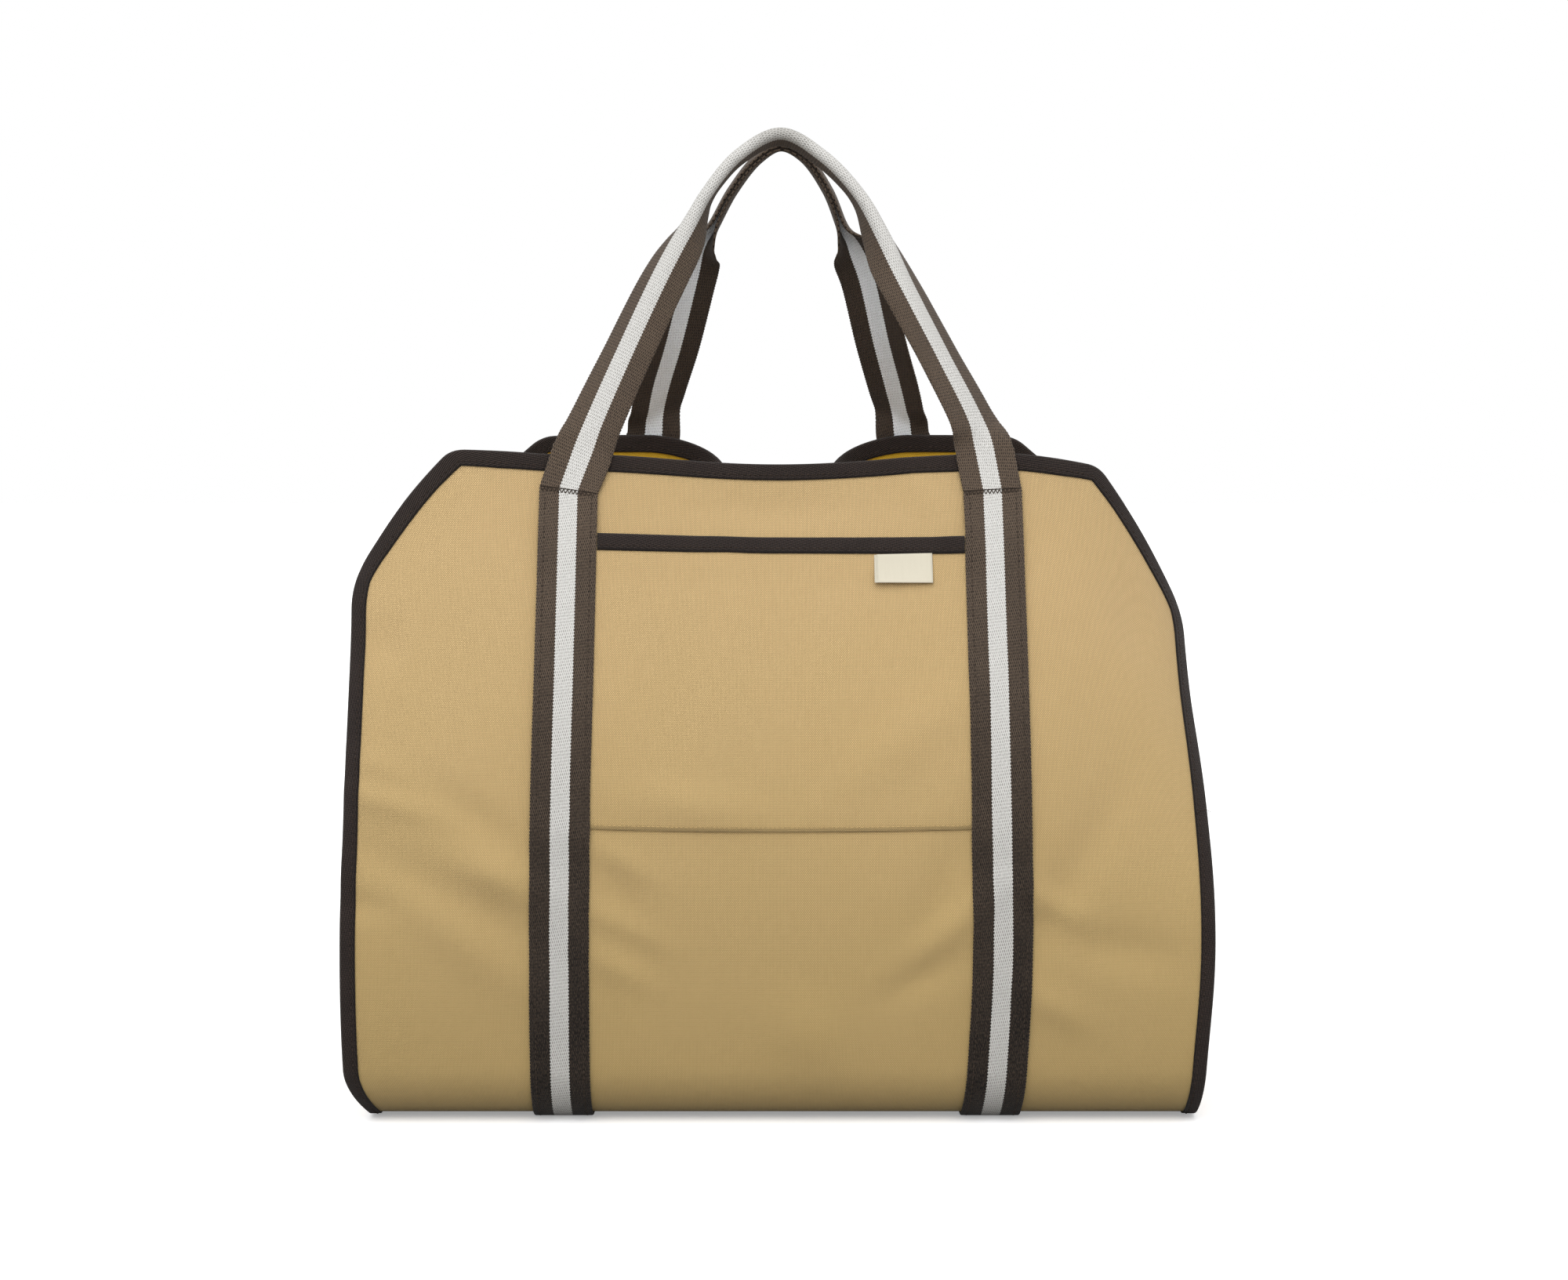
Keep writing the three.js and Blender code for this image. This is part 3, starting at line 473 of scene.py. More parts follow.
def signed_volume(points, quads):
    """Six times the volume inside closed quads, below zero where they point inward."""
    a, b, c, d = (points[quads[:, k]] for k in range(4))
    return np.einsum("ij,ij->", a, np.cross(b, c)) + np.einsum("ij,ij->", a, np.cross(c, d))


def inner_painted(columns):
    """Material numbers of a ring's columns: 0, and 1 on the inner face."""
    outer = columns // 2
    return [0] * outer + [1] * (outer - 1) + [0]


def stitched_grid(name, rings, flat, slots, faces=None, joined=False):
    """Closed mesh on a grid of rings. Each ring runs along the piece's outer face and back along
    its inner one, so column j lies opposite column n - 1 - j, and the two ends are closed with
    quads between opposite columns. With joined rings the grid closes on itself instead.
    flat holds the same places on the flat cloth in millimetres, one ring more when joined,
    and faces the material of each column."""
    rows, columns = rings.shape[:2]
    spans = rows if joined else rows - 1
    i, j = np.meshgrid(np.arange(spans), np.arange(columns), indexing="ij")
    after = (j + 1) % columns
    corners = np.stack([(i, j), (i, after), (i + 1, after), (i + 1, j)], 0)
    quads = corners.transpose(2, 3, 0, 1).reshape(-1, 4, 2)
    paint = np.tile(np.zeros(columns, int) if faces is None else np.asarray(faces), spans)
    if not joined:
        near = np.arange(columns // 2 - 1)
        far = columns - 1 - near
        low = np.stack([(near, near + 1), (far, far - 1)], 0)
        first = np.stack([low[0, 0], low[1, 0], low[1, 1], low[0, 1]], -1)
        ends = [
            np.stack([np.full_like(first, row), turned], -1)
            for row, turned in ((0, first), (rows - 1, first[:, ::-1]))
        ]
        quads = np.concatenate([quads, *ends])
        paint = np.concatenate([paint, np.zeros(2 * len(near), int)])
    vertices = (quads[..., 0] % rows) * columns + quads[..., 1]
    places = quads[..., 0] * columns + quads[..., 1]
    points = rings.reshape(-1, 3) * MM
    if signed_volume(points, vertices) < 0:
        vertices = vertices[:, ::-1]
        places = places[:, ::-1]
    return put_mesh(name, points, vertices, slots, flat.reshape(-1, 2)[places], paint)


def put_mesh(name, points, quads, slots, flat=None, paint=None):
    """Smooth mesh object from arrays of points, quads, flat places and material numbers."""
    mesh = bpy.data.meshes.new(name)
    mesh.vertices.add(len(points))
    mesh.vertices.foreach_set("co", np.ascontiguousarray(points, np.float32).ravel())
    mesh.loops.add(quads.size)
    mesh.loops.foreach_set("vertex_index", np.ascontiguousarray(quads, np.int32).ravel())
    mesh.polygons.add(len(quads))
    mesh.polygons.foreach_set("loop_start", np.arange(0, quads.size, 4, dtype=np.int32))
    mesh.polygons.foreach_set("use_smooth", np.ones(len(quads), bool))
    for slot in slots:
        mesh.materials.append(slot)
    if paint is not None:
        mesh.polygons.foreach_set("material_index", np.ascontiguousarray(paint, np.int32))
    mesh.update(calc_edges=True)
    if flat is not None:
        layer = mesh.uv_layers.new(name="flat")
        layer.data.foreach_set("uv", np.ascontiguousarray(flat * MM, np.float32).ravel())
    piece = bpy.data.objects.new(name, mesh)
    bpy.context.collection.objects.link(piece)
    return piece


class Wiring:
    """Short calls that fill one node tree."""

    def __init__(self, tree):
        self.tree = tree

    def node(self, kind, inputs=None, **settings):
        """New node, with its inputs by name or number and its settings."""
        made = self.tree.nodes.new(kind)
        for name, value in settings.items():
            setattr(made, name, value)
        for name, value in (inputs or {}).items():
            self.feed(made.inputs[name], value)
        return made

    def feed(self, socket, value):
        """Link or constant for an input."""
        if isinstance(value, bpy.types.NodeSocket):
            self.tree.links.new(value, socket)
        else:
            socket.default_value = value

    def math(self, operation, *values):
        """Number worked out from numbers."""
        made = self.tree.nodes.new("ShaderNodeMath")
        made.operation = operation
        for socket, value in zip(made.inputs, values):
            self.feed(socket, value)
        return made.outputs[0]

    def mix(self, share, low, high):
        """Number between low and high."""
        return self.math("MULTIPLY_ADD", self.math("SUBTRACT", high, low), share, low)

    def blend(self, share, low, high):
        """Colour between low and high."""
        made = self.node("ShaderNodeMix", data_type="RGBA")
        for place, value in ((0, share), (6, low), (7, high)):
            self.feed(made.inputs[place], value)
        return made.outputs[2]

    def wave(self, value, pitch):
        """Half sines side by side, each a pitch wide."""
        turned = self.math("MULTIPLY", self.math("DIVIDE", value, pitch), math.pi)
        return self.math("ABSOLUTE", self.math("SINE", turned))

    def between(self, value, low, high):
        """Eased step from 0 at low to 1 at high."""
        inputs = {0: value, 1: low, 2: high}
        return self.node("ShaderNodeMapRange", inputs, interpolation_type="SMOOTHSTEP").outputs[0]

    def parts(self, vector):
        """The three numbers of a vector."""
        return self.node("ShaderNodeSeparateXYZ", {0: vector}).outputs

    def noise(self, vector, scale, detail=2.0):
        """Cloudy noise about a half, with lumps 1 / scale wide."""
        inputs = {"Vector": vector, "Scale": scale, "Detail": detail}
        return self.node("ShaderNodeTexNoise", inputs).outputs[0]

    def stretched(self, vector, scale):
        """Vector times a scale, part by part."""
        made = self.node("ShaderNodeVectorMath", {0: vector}, operation="MULTIPLY")
        made.inputs[1].default_value = scale
        return made.outputs[0]


def new_group(name, inputs, outputs):
    """Empty shader node group with number and vector sockets, and its wiring."""
    group = bpy.data.node_groups.new(name, "ShaderNodeTree")
    for label, kind, value in inputs:
        socket = group.interface.new_socket(label, in_out="INPUT", socket_type="NodeSocket" + kind)
        if value is not None:
            socket.default_value = value
    for label in outputs:
        group.interface.new_socket(label, in_out="OUTPUT", socket_type="NodeSocketFloat")
    wiring = Wiring(group)
    given = wiring.node("NodeGroupInput").outputs
    result = wiring.node("NodeGroupOutput").inputs
    return group, wiring, given, result


def plain_weave():
    """Plain weave: each thread is a half sine across itself, and at every other crossing the
    other thread lies on top. Tone changes slowly along each thread."""
    inputs = [
        ("Vector", "Vector", None),
        ("Across", "Float", 0.54),
        ("Along", "Float", 0.75),
        ("Waver", "Float", 0.12),
    ]
    group, w, given, result = new_group("plain weave", inputs, ["Height", "Tone"])
    drift = w.node("ShaderNodeTexNoise", {"Vector": given["Vector"], "Scale": 0.22})
    moved = w.node("ShaderNodeVectorMath", {0: drift.outputs[1]}, operation="SUBTRACT")
    moved.inputs[1].default_value = (0.5, 0.5, 0.5)
    sized = w.node("ShaderNodeVectorMath", {0: moved.outputs[0]}, operation="SCALE")
    w.feed(sized.inputs["Scale"], given["Waver"])
    place = w.node("ShaderNodeVectorMath", {0: given["Vector"], 1: sized.outputs[0]})
    across, along, _ = w.parts(place.outputs[0])
    u = w.math("DIVIDE", across, given["Across"])
    v = w.math("DIVIDE", along, given["Along"])
    warp = w.wave(u, 1.0)
    weft = w.wave(v, 1.0)
    odd = w.math("PINGPONG", w.math("ADD", w.math("FLOOR", u), w.math("FLOOR", v)), 1.0)
    over = w.math("MULTIPLY", warp, w.math("MULTIPLY_ADD", weft, 0.6, 0.4))
    half_weft = w.math("MULTIPLY", weft, 0.5)
    under = w.math("MULTIPLY", half_weft, w.math("MULTIPLY_ADD", warp, 0.5, 0.5))
    w.feed(result["Height"], w.mix(odd, over, under))
    warp_tone = w.noise(w.stretched(place.outputs[0], (1.0, 0.08, 1.0)), 0.9, 1.0)
    weft_tone = w.noise(w.stretched(place.outputs[0], (0.08, 1.0, 1.0)), 0.9, 1.0)
    w.feed(result["Tone"], w.mix(odd, warp_tone, weft_tone))
    return group


def webbing_weave():
    """Webbing weave: slanting rows of floats, each row half a column further on, with a short
    pit where four floats meet. Rows puts out the half sine of each row."""
    inputs = [
        ("Vector", "Vector", None),
        ("Column", "Float", 1.07),
        ("Row", "Float", SCALLOP_PITCH),
        ("Slant", "Float", 0.14),
    ]
    group, w, given, result = new_group("webbing weave", inputs, ["Height", "Pits", "Rows", "Tone"])
    across, along, _ = w.parts(given["Vector"])
    climb = w.math("MULTIPLY_ADD", across, given["Slant"], along)
    row = w.math("DIVIDE", climb, given["Row"])
    odd = w.math("PINGPONG", w.math("FLOOR", row), 1.0)
    column = w.math("MULTIPLY_ADD", odd, 0.5, w.math("DIVIDE", across, given["Column"]))
    rows = w.wave(row, 1.0)
    pits = w.math("MULTIPLY", w.between(w.wave(column, 1.0), 0.6, 1.0), w.between(rows, 0.15, 0.8))
    uneven = w.between(w.noise(given["Vector"], 0.8, 1.0), 0.25, 0.6)
    pits = w.math("MULTIPLY", pits, w.math("MULTIPLY_ADD", uneven, 0.5, 0.5))
    w.feed(result["Pits"], pits)
    w.feed(result["Rows"], rows)
    w.feed(result["Height"], w.math("SUBTRACT", w.math("MULTIPLY_ADD", rows, 0.25, 0.75), pits))
    w.feed(result["Tone"], w.noise(w.stretched(given["Vector"], (1.0, 0.3, 1.0)), 1.8, 1.0))
    return group


def slanted_twill():
    """Twill: short ridges, each the product of two half sines that run at a slant to each
    other, so that they line up along the slant between the two."""
    inputs = [
        ("Vector", "Vector", None),
        ("Column", "Float", 0.97),
        ("Row", "Float", 1.07),
        ("Slant", "Float", 0.27),
    ]
    group, w, given, result = new_group("slanted twill", inputs, ["Height", "Tone"])
    across, along, _ = w.parts(given["Vector"])
    leaning = w.math("MULTIPLY_ADD", along, -0.13, across)
    climb = w.math("MULTIPLY_ADD", across, given["Slant"], along)
    column = w.wave(w.math("DIVIDE", leaning, given["Column"]), 1.0)
    row = w.wave(w.math("DIVIDE", climb, given["Row"]), 1.0)
    w.feed(result["Height"], w.math("MULTIPLY", row, w.math("POWER", column, 0.4)))
    w.feed(result["Tone"], w.noise(w.stretched(given["Vector"], (0.4, 1.0, 1.0)), 0.7, 2.0))
    return group


def handling():
    """Wear of cloth in use: large soft patches and fine flecks, both from 0 to 1."""
    inputs = [("Vector", "Vector", None), ("Patch", "Float", 0.012), ("Fleck", "Float", 1.6)]
    group, w, given, result = new_group("handling", inputs, ["Patches", "Flecks"])
    patches = w.noise(given["Vector"], given["Patch"])
    w.feed(result["Patches"], w.between(patches, 0.35, 0.65))
    flecks = w.noise(given["Vector"], given["Fleck"])
    w.feed(result["Flecks"], w.between(flecks, 0.58, 0.72))
    return group


WEAVE = plain_weave()
RIBS = webbing_weave()
TWILL = slanted_twill()
HANDLING = handling()


def new_finish(name, roughness, sheen=0.0):
    """Material with its Principled shader, its wiring and the flat place in millimetres."""
    material = bpy.data.materials.new(name)
    material.use_nodes = True
    w = Wiring(material.node_tree)
    shader = material.node_tree.nodes["Principled BSDF"]
    shader.inputs["Roughness"].default_value = roughness
    shader.inputs["Specular IOR Level"].default_value = 0.12
    shader.inputs["Sheen Weight"].default_value = sheen
    shader.inputs["Sheen Roughness"].default_value = 0.5
    flat = w.node("ShaderNodeUVMap", uv_map="flat")
    place = w.stretched(flat.outputs[0], (1 / MM, 1 / MM, 1 / MM))
    return material, w, shader, place


def put_group(w, group, place, **values):
    """One of the shared effects in a material."""
    made = w.node("ShaderNodeGroup", node_tree=group)
    w.feed(made.inputs["Vector"], place)
    for name, value in values.items():
        made.inputs[name].default_value = value
    return made.outputs


def raise_threads(w, shader, height, depth):
    """Bump of the threads, a depth in millimetres high."""
    bump = w.node("ShaderNodeBump", {"Height": height, "Strength": 1.0, "Distance": depth * MM})
    w.feed(shader.inputs["Normal"], bump.outputs[0])


def colour(red, green, blue):
    """Opaque colour."""
    return (red, green, blue, 1.0)


def cloth_finish(name, light, dark, pitch=(0.54, 0.75), depth=0.2, gap_shade=0.62):
    """Canvas: thread tone between two shades, darker in the gaps between the threads, with
    faint patches from handling, and painted shade that darkens it towards the bottom. Flat
    places are (across, along)."""
    material, w, shader, place = new_finish(name, 0.88, 0.12)
    threads = put_group(w, WEAVE, place, Across=pitch[0], Along=pitch[1])
    wear = put_group(w, HANDLING, place)
    tone = w.between(threads["Tone"], 0.3, 0.7)
    base = w.blend(tone, light, dark)
    gap = w.between(threads["Height"], 0.2, 0.9)
    shaded = w.blend(gap, colour(*(gap_shade * value for value in dark[:3])), base)
    # Painted shade: the colour darkens towards the bottom, where the cloth turns under; handling
    # patches add a little wear.
    low = w.between(w.math("ABSOLUTE", w.parts(place)[1]), 470.0, 60.0)
    soft = w.math("MULTIPLY_ADD", low, 0.64, w.math("MULTIPLY", wear["Patches"], 0.06))
    bottom_shade_and_wear = w.blend(soft, shaded, colour(0.52 * dark[0], 0.53 * dark[1], 0.4 * dark[2]))
    w.feed(shader.inputs["Base Color"], bottom_shade_and_wear)
    raise_threads(w, shader, threads["Height"], depth)
    return material


def tape_finish(name, light, dark):
    """Twill tape: slanted ridges over most of its width and a flat selvage at each side, with
    lighter ridge tops. Flat places are (along, across) the tape."""
    material, w, shader, place = new_finish(name, 0.8, 0.1)
    threads = put_group(w, TWILL, place)
    along, across, _ = w.parts(place)
    selvage = w.between(w.math("ABSOLUTE", across), 10.0, 10.4)
    height = w.mix(selvage, threads["Height"], w.math("MULTIPLY", w.wave(along, 0.8), 0.55))
    lit = w.between(height, 0.25, 0.95)
    wear = put_group(w, HANDLING, place, Patch=0.05)
    tone = w.math("MULTIPLY_ADD", threads["Tone"], 0.5, w.math("MULTIPLY", wear["Patches"], 0.2))
    bright = w.math("MULTIPLY", lit, w.math("MULTIPLY_ADD", tone, 0.5, 0.45))
    w.feed(shader.inputs["Base Color"], w.blend(bright, dark, light))
    raise_threads(w, shader, height, 0.3)
    return material


def webbing_finish(name, light, dark, white, white_gap):
    """Webbing: a pale stripe in the middle with scalloped edges and brown at both sides. It
    has painted shade towards the bottom and is dirty at the grip. Flat places are
    (across, along)."""
    material, w, shader, place = new_finish(name, 0.82, 0.1)
    threads = put_group(w, RIBS, place)
    across, along, _ = w.parts(place)
    scallops = w.math("MULTIPLY_ADD", threads["Rows"], 0.5, w.math("ABSOLUTE", across))
    brown = w.between(w.math("SUBTRACT", scallops, STRIPE_HALF + 0.25), -0.1, 0.1)
    tone = w.between(threads["Tone"], 0.35, 0.65)
    wear = put_group(w, HANDLING, place, Patch=0.03, Fleck=0.9)
    weathered = w.math("MULTIPLY_ADD", wear["Patches"], 0.1, w.math("MULTIPLY", tone, 0.3))
    top = w.math("SUBTRACT", 1.0, threads["Pits"])
    # Painted shade: the brown darkens towards the bottom of the straps, where they turn under.
    low = w.between(w.math("ABSOLUTE", along), 520.0, 90.0)
    brown_wear_and_shade = w.math("MULTIPLY_ADD", low, -0.74, w.math("ADD", weathered, 0.69))
    dark_part = w.blend(w.math("MULTIPLY", top, brown_wear_and_shade), dark, light)
    from_grip = w.math("ABSOLUTE", w.math("SUBTRACT", along, GRIP_PLACE))
    uneven = w.math("MULTIPLY_ADD", wear["Flecks"], 0.4, 0.5)
    smudge = w.math("MULTIPLY", w.between(from_grip, 26.0, 4.0), uneven)
    # The white greys with painted shade towards the bottom, and with real dirt at the grip.
    bottom_shade_and_grip_dirt = w.math("MULTIPLY_ADD", low, 0.22, w.math("MULTIPLY", smudge, 0.8))
    speckled = w.math("MULTIPLY_ADD", tone, 0.12, w.math("MULTIPLY", threads["Pits"], 0.7))
    white_part = w.blend(w.math("ADD", speckled, bottom_shade_and_grip_dirt), white, white_gap)
    w.feed(shader.inputs["Base Color"], w.blend(brown, white_part, dark_part))
    raise_threads(w, shader, threads["Height"], 0.3)
    return material


def thread_finish(name, light, dark):
    """Sewing thread: two plies that twist round each other, the one darker where it dips. Flat
    places are (along, around) the thread."""
    material, w, shader, place = new_finish(name, 0.6)
    along, around, _ = w.parts(place)
    twist = w.wave(w.math("ADD", along, around), 0.35)
    w.feed(shader.inputs["Base Color"], w.blend(twist, dark, light))
    raise_threads(w, shader, twist, 0.05)
    return material


CANVAS = cloth_finish(
    "tan canvas",
    light=colour(0.88, 0.625, 0.312),
    dark=colour(0.79, 0.555, 0.27),
    gap_shade=0.5,
)
LINING = cloth_finish(
    "mustard inner face",
    light=colour(0.8, 0.5, 0.05),
    dark=colour(0.7, 0.42, 0.03),
    depth=0.12,
)
LABEL = cloth_finish(
    "cream label",
    light=colour(0.74, 0.69, 0.57),
    dark=colour(0.69, 0.64, 0.52),
    pitch=(0.3, 0.3),
    depth=0.06,
    gap_shade=0.85,
)
TAPE = tape_finish(
    "dark brown tape",
    light=colour(0.078, 0.054, 0.045),
    dark=colour(0.005, 0.004, 0.0035),
)
WEBBING = webbing_finish(
    "striped webbing",
    light=colour(0.12, 0.087, 0.062),
    dark=colour(0.008, 0.006, 0.005),
    white=colour(0.66, 0.65, 0.625),
    white_gap=colour(0.27, 0.258, 0.235),
)
# Inner faces of the handles: the webbing with painted light and shade, a brighter white and a
# darker brown than the outer face.
PAINTED_LIGHT_WEBBING = webbing_finish(
    "striped webbing, inner face with painted light",
    light=colour(0.07, 0.05, 0.036),
    dark=colour(0.006, 0.0045, 0.004),
    white=colour(0.87, 0.9, 0.93),
    white_gap=colour(0.52, 0.53, 0.54),
)
BROWN_THREAD = thread_finish(
    "brown thread",
    light=colour(0.05, 0.035, 0.027),
    dark=colour(0.012, 0.008, 0.006),
)
STRAP_THREAD = thread_finish(
    "strap thread",
    light=colour(0.062, 0.045, 0.033),
    dark=colour(0.028, 0.02, 0.015),
)
TAN_THREAD = thread_finish(
    "tan thread",
    light=colour(0.7, 0.5, 0.24),
    dark=colour(0.5, 0.35, 0.15),
)


def cloth_columns(half):
    """Shares of half the cloth's width, from edge to edge."""
    return stops(-half, half, CLOTH_STEP) / half


def sheet_rings(places_across, places_along, low, high):
    """Rings of a cloth layer: its outer face from left to right and its inner face back."""
    outer = lifted_point(places_across, places_along, high)
    inner = lifted_point(places_across, places_along, low)
    rings = np.concatenate([outer, inner[:, ::-1]], 1)
    flat = np.stack([places_across, places_along + np.zeros_like(places_across)], -1)
    return rings, np.concatenate([flat, flat[:, ::-1]], 1)


def build_canvas():
    """Sling: a grid over the whole cloth, its rows narrowed at the four cut corners."""
    cuts = [PANEL_LENGTH, CUT_START]
    along = np.concatenate([
        stops(-cuts[0], -cuts[1], CLOTH_STEP)[:-1],
        stops(-cuts[1], cuts[1], CLOTH_STEP),
        stops(cuts[1], cuts[0], CLOTH_STEP)[1:],
    ])[:, None]
    shares = cloth_columns(HALF_WIDTH)
    across, along = rounded(half_width_at(np.abs(along)) * shares, along + 0 * shares)
    rings, flat = sheet_rings(across, along, -CLOTH_THICKNESS, 0.0)
    faces = inner_painted(rings.shape[1])
    return stitched_grid("canvas_sling", rings, flat, [CANVAS, LINING], faces)


def tape_section(thickness, cover=TAPE_COVER):
    """Section of a tape folded over an edge: reach in from the edge and height above the outer
    face, for its outer and inner line. The fold is a half circle, and both legs close in on
    the cloth towards their own edges."""
    turn = np.radians(np.linspace(90, 270, 9))
    middle = -thickness / 2
    centre = 0.6
    half = thickness / 2 + CLEARANCE

    def line(extra):
        radius = half + extra
        legs = np.array([cover, cover - 0.8, cover - 2.6, cover - 4.2, centre + 2])
        pinch = np.array([0.16, 0.1, 0.14, 0.03, 0])
        outer_leg = np.stack([legs, middle + radius - pinch], -1)
        bend = np.stack([centre + radius * np.cos(turn), middle + radius * np.sin(turn)], -1)
        inner_leg = np.stack([legs, middle - radius + pinch], -1)[::-1]
        return np.concatenate([outer_leg, bend, inner_leg])

    outer = line(TAPE_THICKNESS)
    inner = line(0.0)
    steps = np.linalg.norm(np.diff(outer, axis=0), axis=1)
    length = np.concatenate([[0], np.cumsum(steps)])
    return outer, inner, length - length[-1] / 2


def edge_stations():
    """Stations round the cloth's edge: place, change of place for each millimetre in, and the
    tape's share of its full cover. The change is the edge's inward normal, eased at each corner
    into the line that halves it, and the share is eased in the same way."""
    corners = np.array([
        [-TOP_HALF, PANEL_LENGTH],
        [TOP_HALF, PANEL_LENGTH],
        [HALF_WIDTH, CUT_START],
        [HALF_WIDTH, -CUT_START],
        [TOP_HALF, -PANEL_LENGTH],
        [-TOP_HALF, -PANEL_LENGTH],
        [-HALF_WIDTH, -CUT_START],
        [-HALF_WIDTH, CUT_START],
    ])
    way = np.roll(corners, -1, 0) - corners
    length = np.linalg.norm(way, axis=1)
    way = way / length[:, None]
    inward = np.stack([way[:, 1], -way[:, 0]], -1)
    before = np.roll(inward, 1, 0)
    halving = (before + inward) / (1 + np.sum(before * inward, 1))[:, None]
    cover = np.where(np.arange(len(corners)) % 4 == 0, 1, SIDE_COVER)
    inward = np.concatenate([inward, cover[:, None]], 1)
    halving = np.concatenate([halving, (np.roll(cover, 1) + cover)[:, None] / 2], 1)
    stations = []
    for k in range(len(corners)):
        run = stops(0, length[k], TAPE_STEP)[:-1, None]
        start = np.maximum(0, 1 - run / CORNER_REACH) * (halving[k] - inward[k])
        after = halving[(k + 1) % len(corners)] - inward[k]
        end = np.maximum(0, 1 - (length[k] - run) / CORNER_REACH) * after
        stations.append(np.concatenate([corners[k] + way[k] * run, inward[k] + start + end], 1))
    return np.concatenate(stations)


def build_edge_tape():
    """Tape round the whole cloth: its section carried along the edge stations."""
    outer, inner, width = tape_section(CLOTH_THICKNESS)
    stations = edge_stations()

    def line(section):
        reach = section[:, 0] * stations[:, None, 4]
        across = stations[:, None, 0] + stations[:, None, 2] * reach
        along = stations[:, None, 1] + stations[:, None, 3] * reach
        return lifted_point(*rounded(across, along), section[:, 1] + 0 * across)

    rings = np.concatenate([line(outer), line(inner)[:, ::-1]], 1)
    middle = cloth_point(stations[:, 0], stations[:, 1])
    steps = np.linalg.norm(np.diff(np.concatenate([middle, middle[:1]]), axis=0), axis=1)
    length = np.concatenate([[0], np.cumsum(steps)])
    across = np.concatenate([width, width[::-1]])
    flat = np.stack(np.broadcast_arrays(length[:, None], across[None, :]), -1)
    return stitched_grid("edge_tape", rings, flat, [TAPE], joined=True)


def build_pocket():
    """Pocket panel: a layer over the front panel, a little thinner and lower at its turned bottom
    hem.
    """
    share = stops(0, POCKET_LENGTH, CLOTH_STEP)[:, None] / POCKET_LENGTH
    across = POCKET_HALF * cloth_columns(POCKET_HALF)[None, :] + 0 * share
    along = -pocket_top(across) + (pocket_top(across) - pocket_seam(across)) * share
    hem = 1 - ease(-along, POCKET_SEAM + 2, POCKET_SEAM + 7)
    low = pocket_lift(-along) + 0 * across - 0.2 * hem
    rings, flat = sheet_rings(across, along, low, low + POCKET_THICKNESS - 0.1 * hem)
    return stitched_grid("pocket_cloth", rings, flat, [CANVAS])


def build_pocket_tape():
    """Tape over the pocket's top edge, ending beside the straps."""
    outer, inner, width = tape_section(POCKET_THICKNESS, POCKET_COVER)
    across = stops(-STRAP_INNER + CLEARANCE, STRAP_INNER - CLEARANCE, TAPE_STEP)[:, None]
    base = MOUTH_LIFT + POCKET_THICKNESS

    def line(section):
        return lifted_point(across, section[:, 0] - pocket_top(across), section[:, 1] + base)

    rings = np.concatenate([line(outer), line(inner)[:, ::-1]], 1)
    flat = np.stack(np.broadcast_arrays(across, np.concatenate([width, width[::-1]])), -1)
    return stitched_grid("pocket_tape", rings, flat, [TAPE])


def build_label():
    """Label: a ribbon folded at its lower edge, front and back layer hanging from the tape. It
    stands off by the squared share of its length, and its back layer shows at the left."""
    right = STRAP_INNER - LABEL_FROM_STRAP
    top = float(pocket_top(right - LABEL_WIDTH / 2)) - POCKET_COVER - CLEARANCE
    part = np.linspace(0, 1, 21)[:, None]
    drop = np.linspace(0, 1, 14)
    turn = np.radians(np.linspace(90, -90, 7))[1:-1]

    def line(inset):
        half = LABEL_THICKNESS / 2 - inset
        down = np.concatenate([drop, 1 + half * np.cos(turn) / LABEL_LENGTH, drop[::-1]])
        rise = np.concatenate([half + 0 * drop, half * np.sin(turn), -half + 0 * drop])
        travel = top - (LABEL_LENGTH - LABEL_THICKNESS / 2) * down
        rest = pocket_lift(travel) + POCKET_THICKNESS + CLEARANCE + LABEL_THICKNESS / 2
        hang = LABEL_LIFT * down * down * (1 - 0.5 * part)
        behind = np.concatenate([0 * drop, np.linspace(0, 1, 7)[1:-1], 1 + 0 * drop])
        across = right - (LABEL_WIDTH + LABEL_SKEW * behind) * (1 - part)
        return lifted_point(across, -travel + 0 * across, rest + rise + hang), across, travel

    outer, across, travel = line(0.0)
    inner, _, _ = line(LABEL_RIBBON)
    flat = np.stack([across, travel + 0 * across], -1)
    rings = np.concatenate([outer, inner[:, ::-1]], 1)
    return stitched_grid("folded_label", rings, np.concatenate([flat, flat[:, ::-1]], 1), [LABEL])


def webbing_section():
    """Closed section of the webbing: place across it and height above its middle layer, along
    its outer face and back along its inner one, with rounded selvages."""
    half = WEBBING_THICKNESS / 2
    round_off = np.radians([75, 45, 15])
    edge = WEBBING_WIDTH / 2 - half
    flat_part = np.concatenate([
        [-12.5, -9, -6],
        np.linspace(-1, 1, 9) * BENT_HALF,
        [6, 9, 12.5],
    ])
    out = edge + half * np.cos(round_off)
    up = half * np.sin(round_off)
    place = np.concatenate([-out[::-1], flat_part, out])
    height = np.concatenate([up[::-1], 0 * flat_part + half, up])
    return np.concatenate([place, place[::-1]]), np.concatenate([height, -height[::-1]])


def scalloped(place, along):
    """Places across the webbing, moved in and out at the selvages from float to float."""
    share = ease(np.abs(place), WEBBING_WIDTH / 2 - 1.2, WEBBING_WIDTH / 2)
    wave = np.abs(np.sin(np.pi * along / SCALLOP_PITCH)) - 0.6
    return place + np.sign(place) * share * wave * SCALLOP_DEPTH * 2


PLACE, HEIGHT = webbing_section()


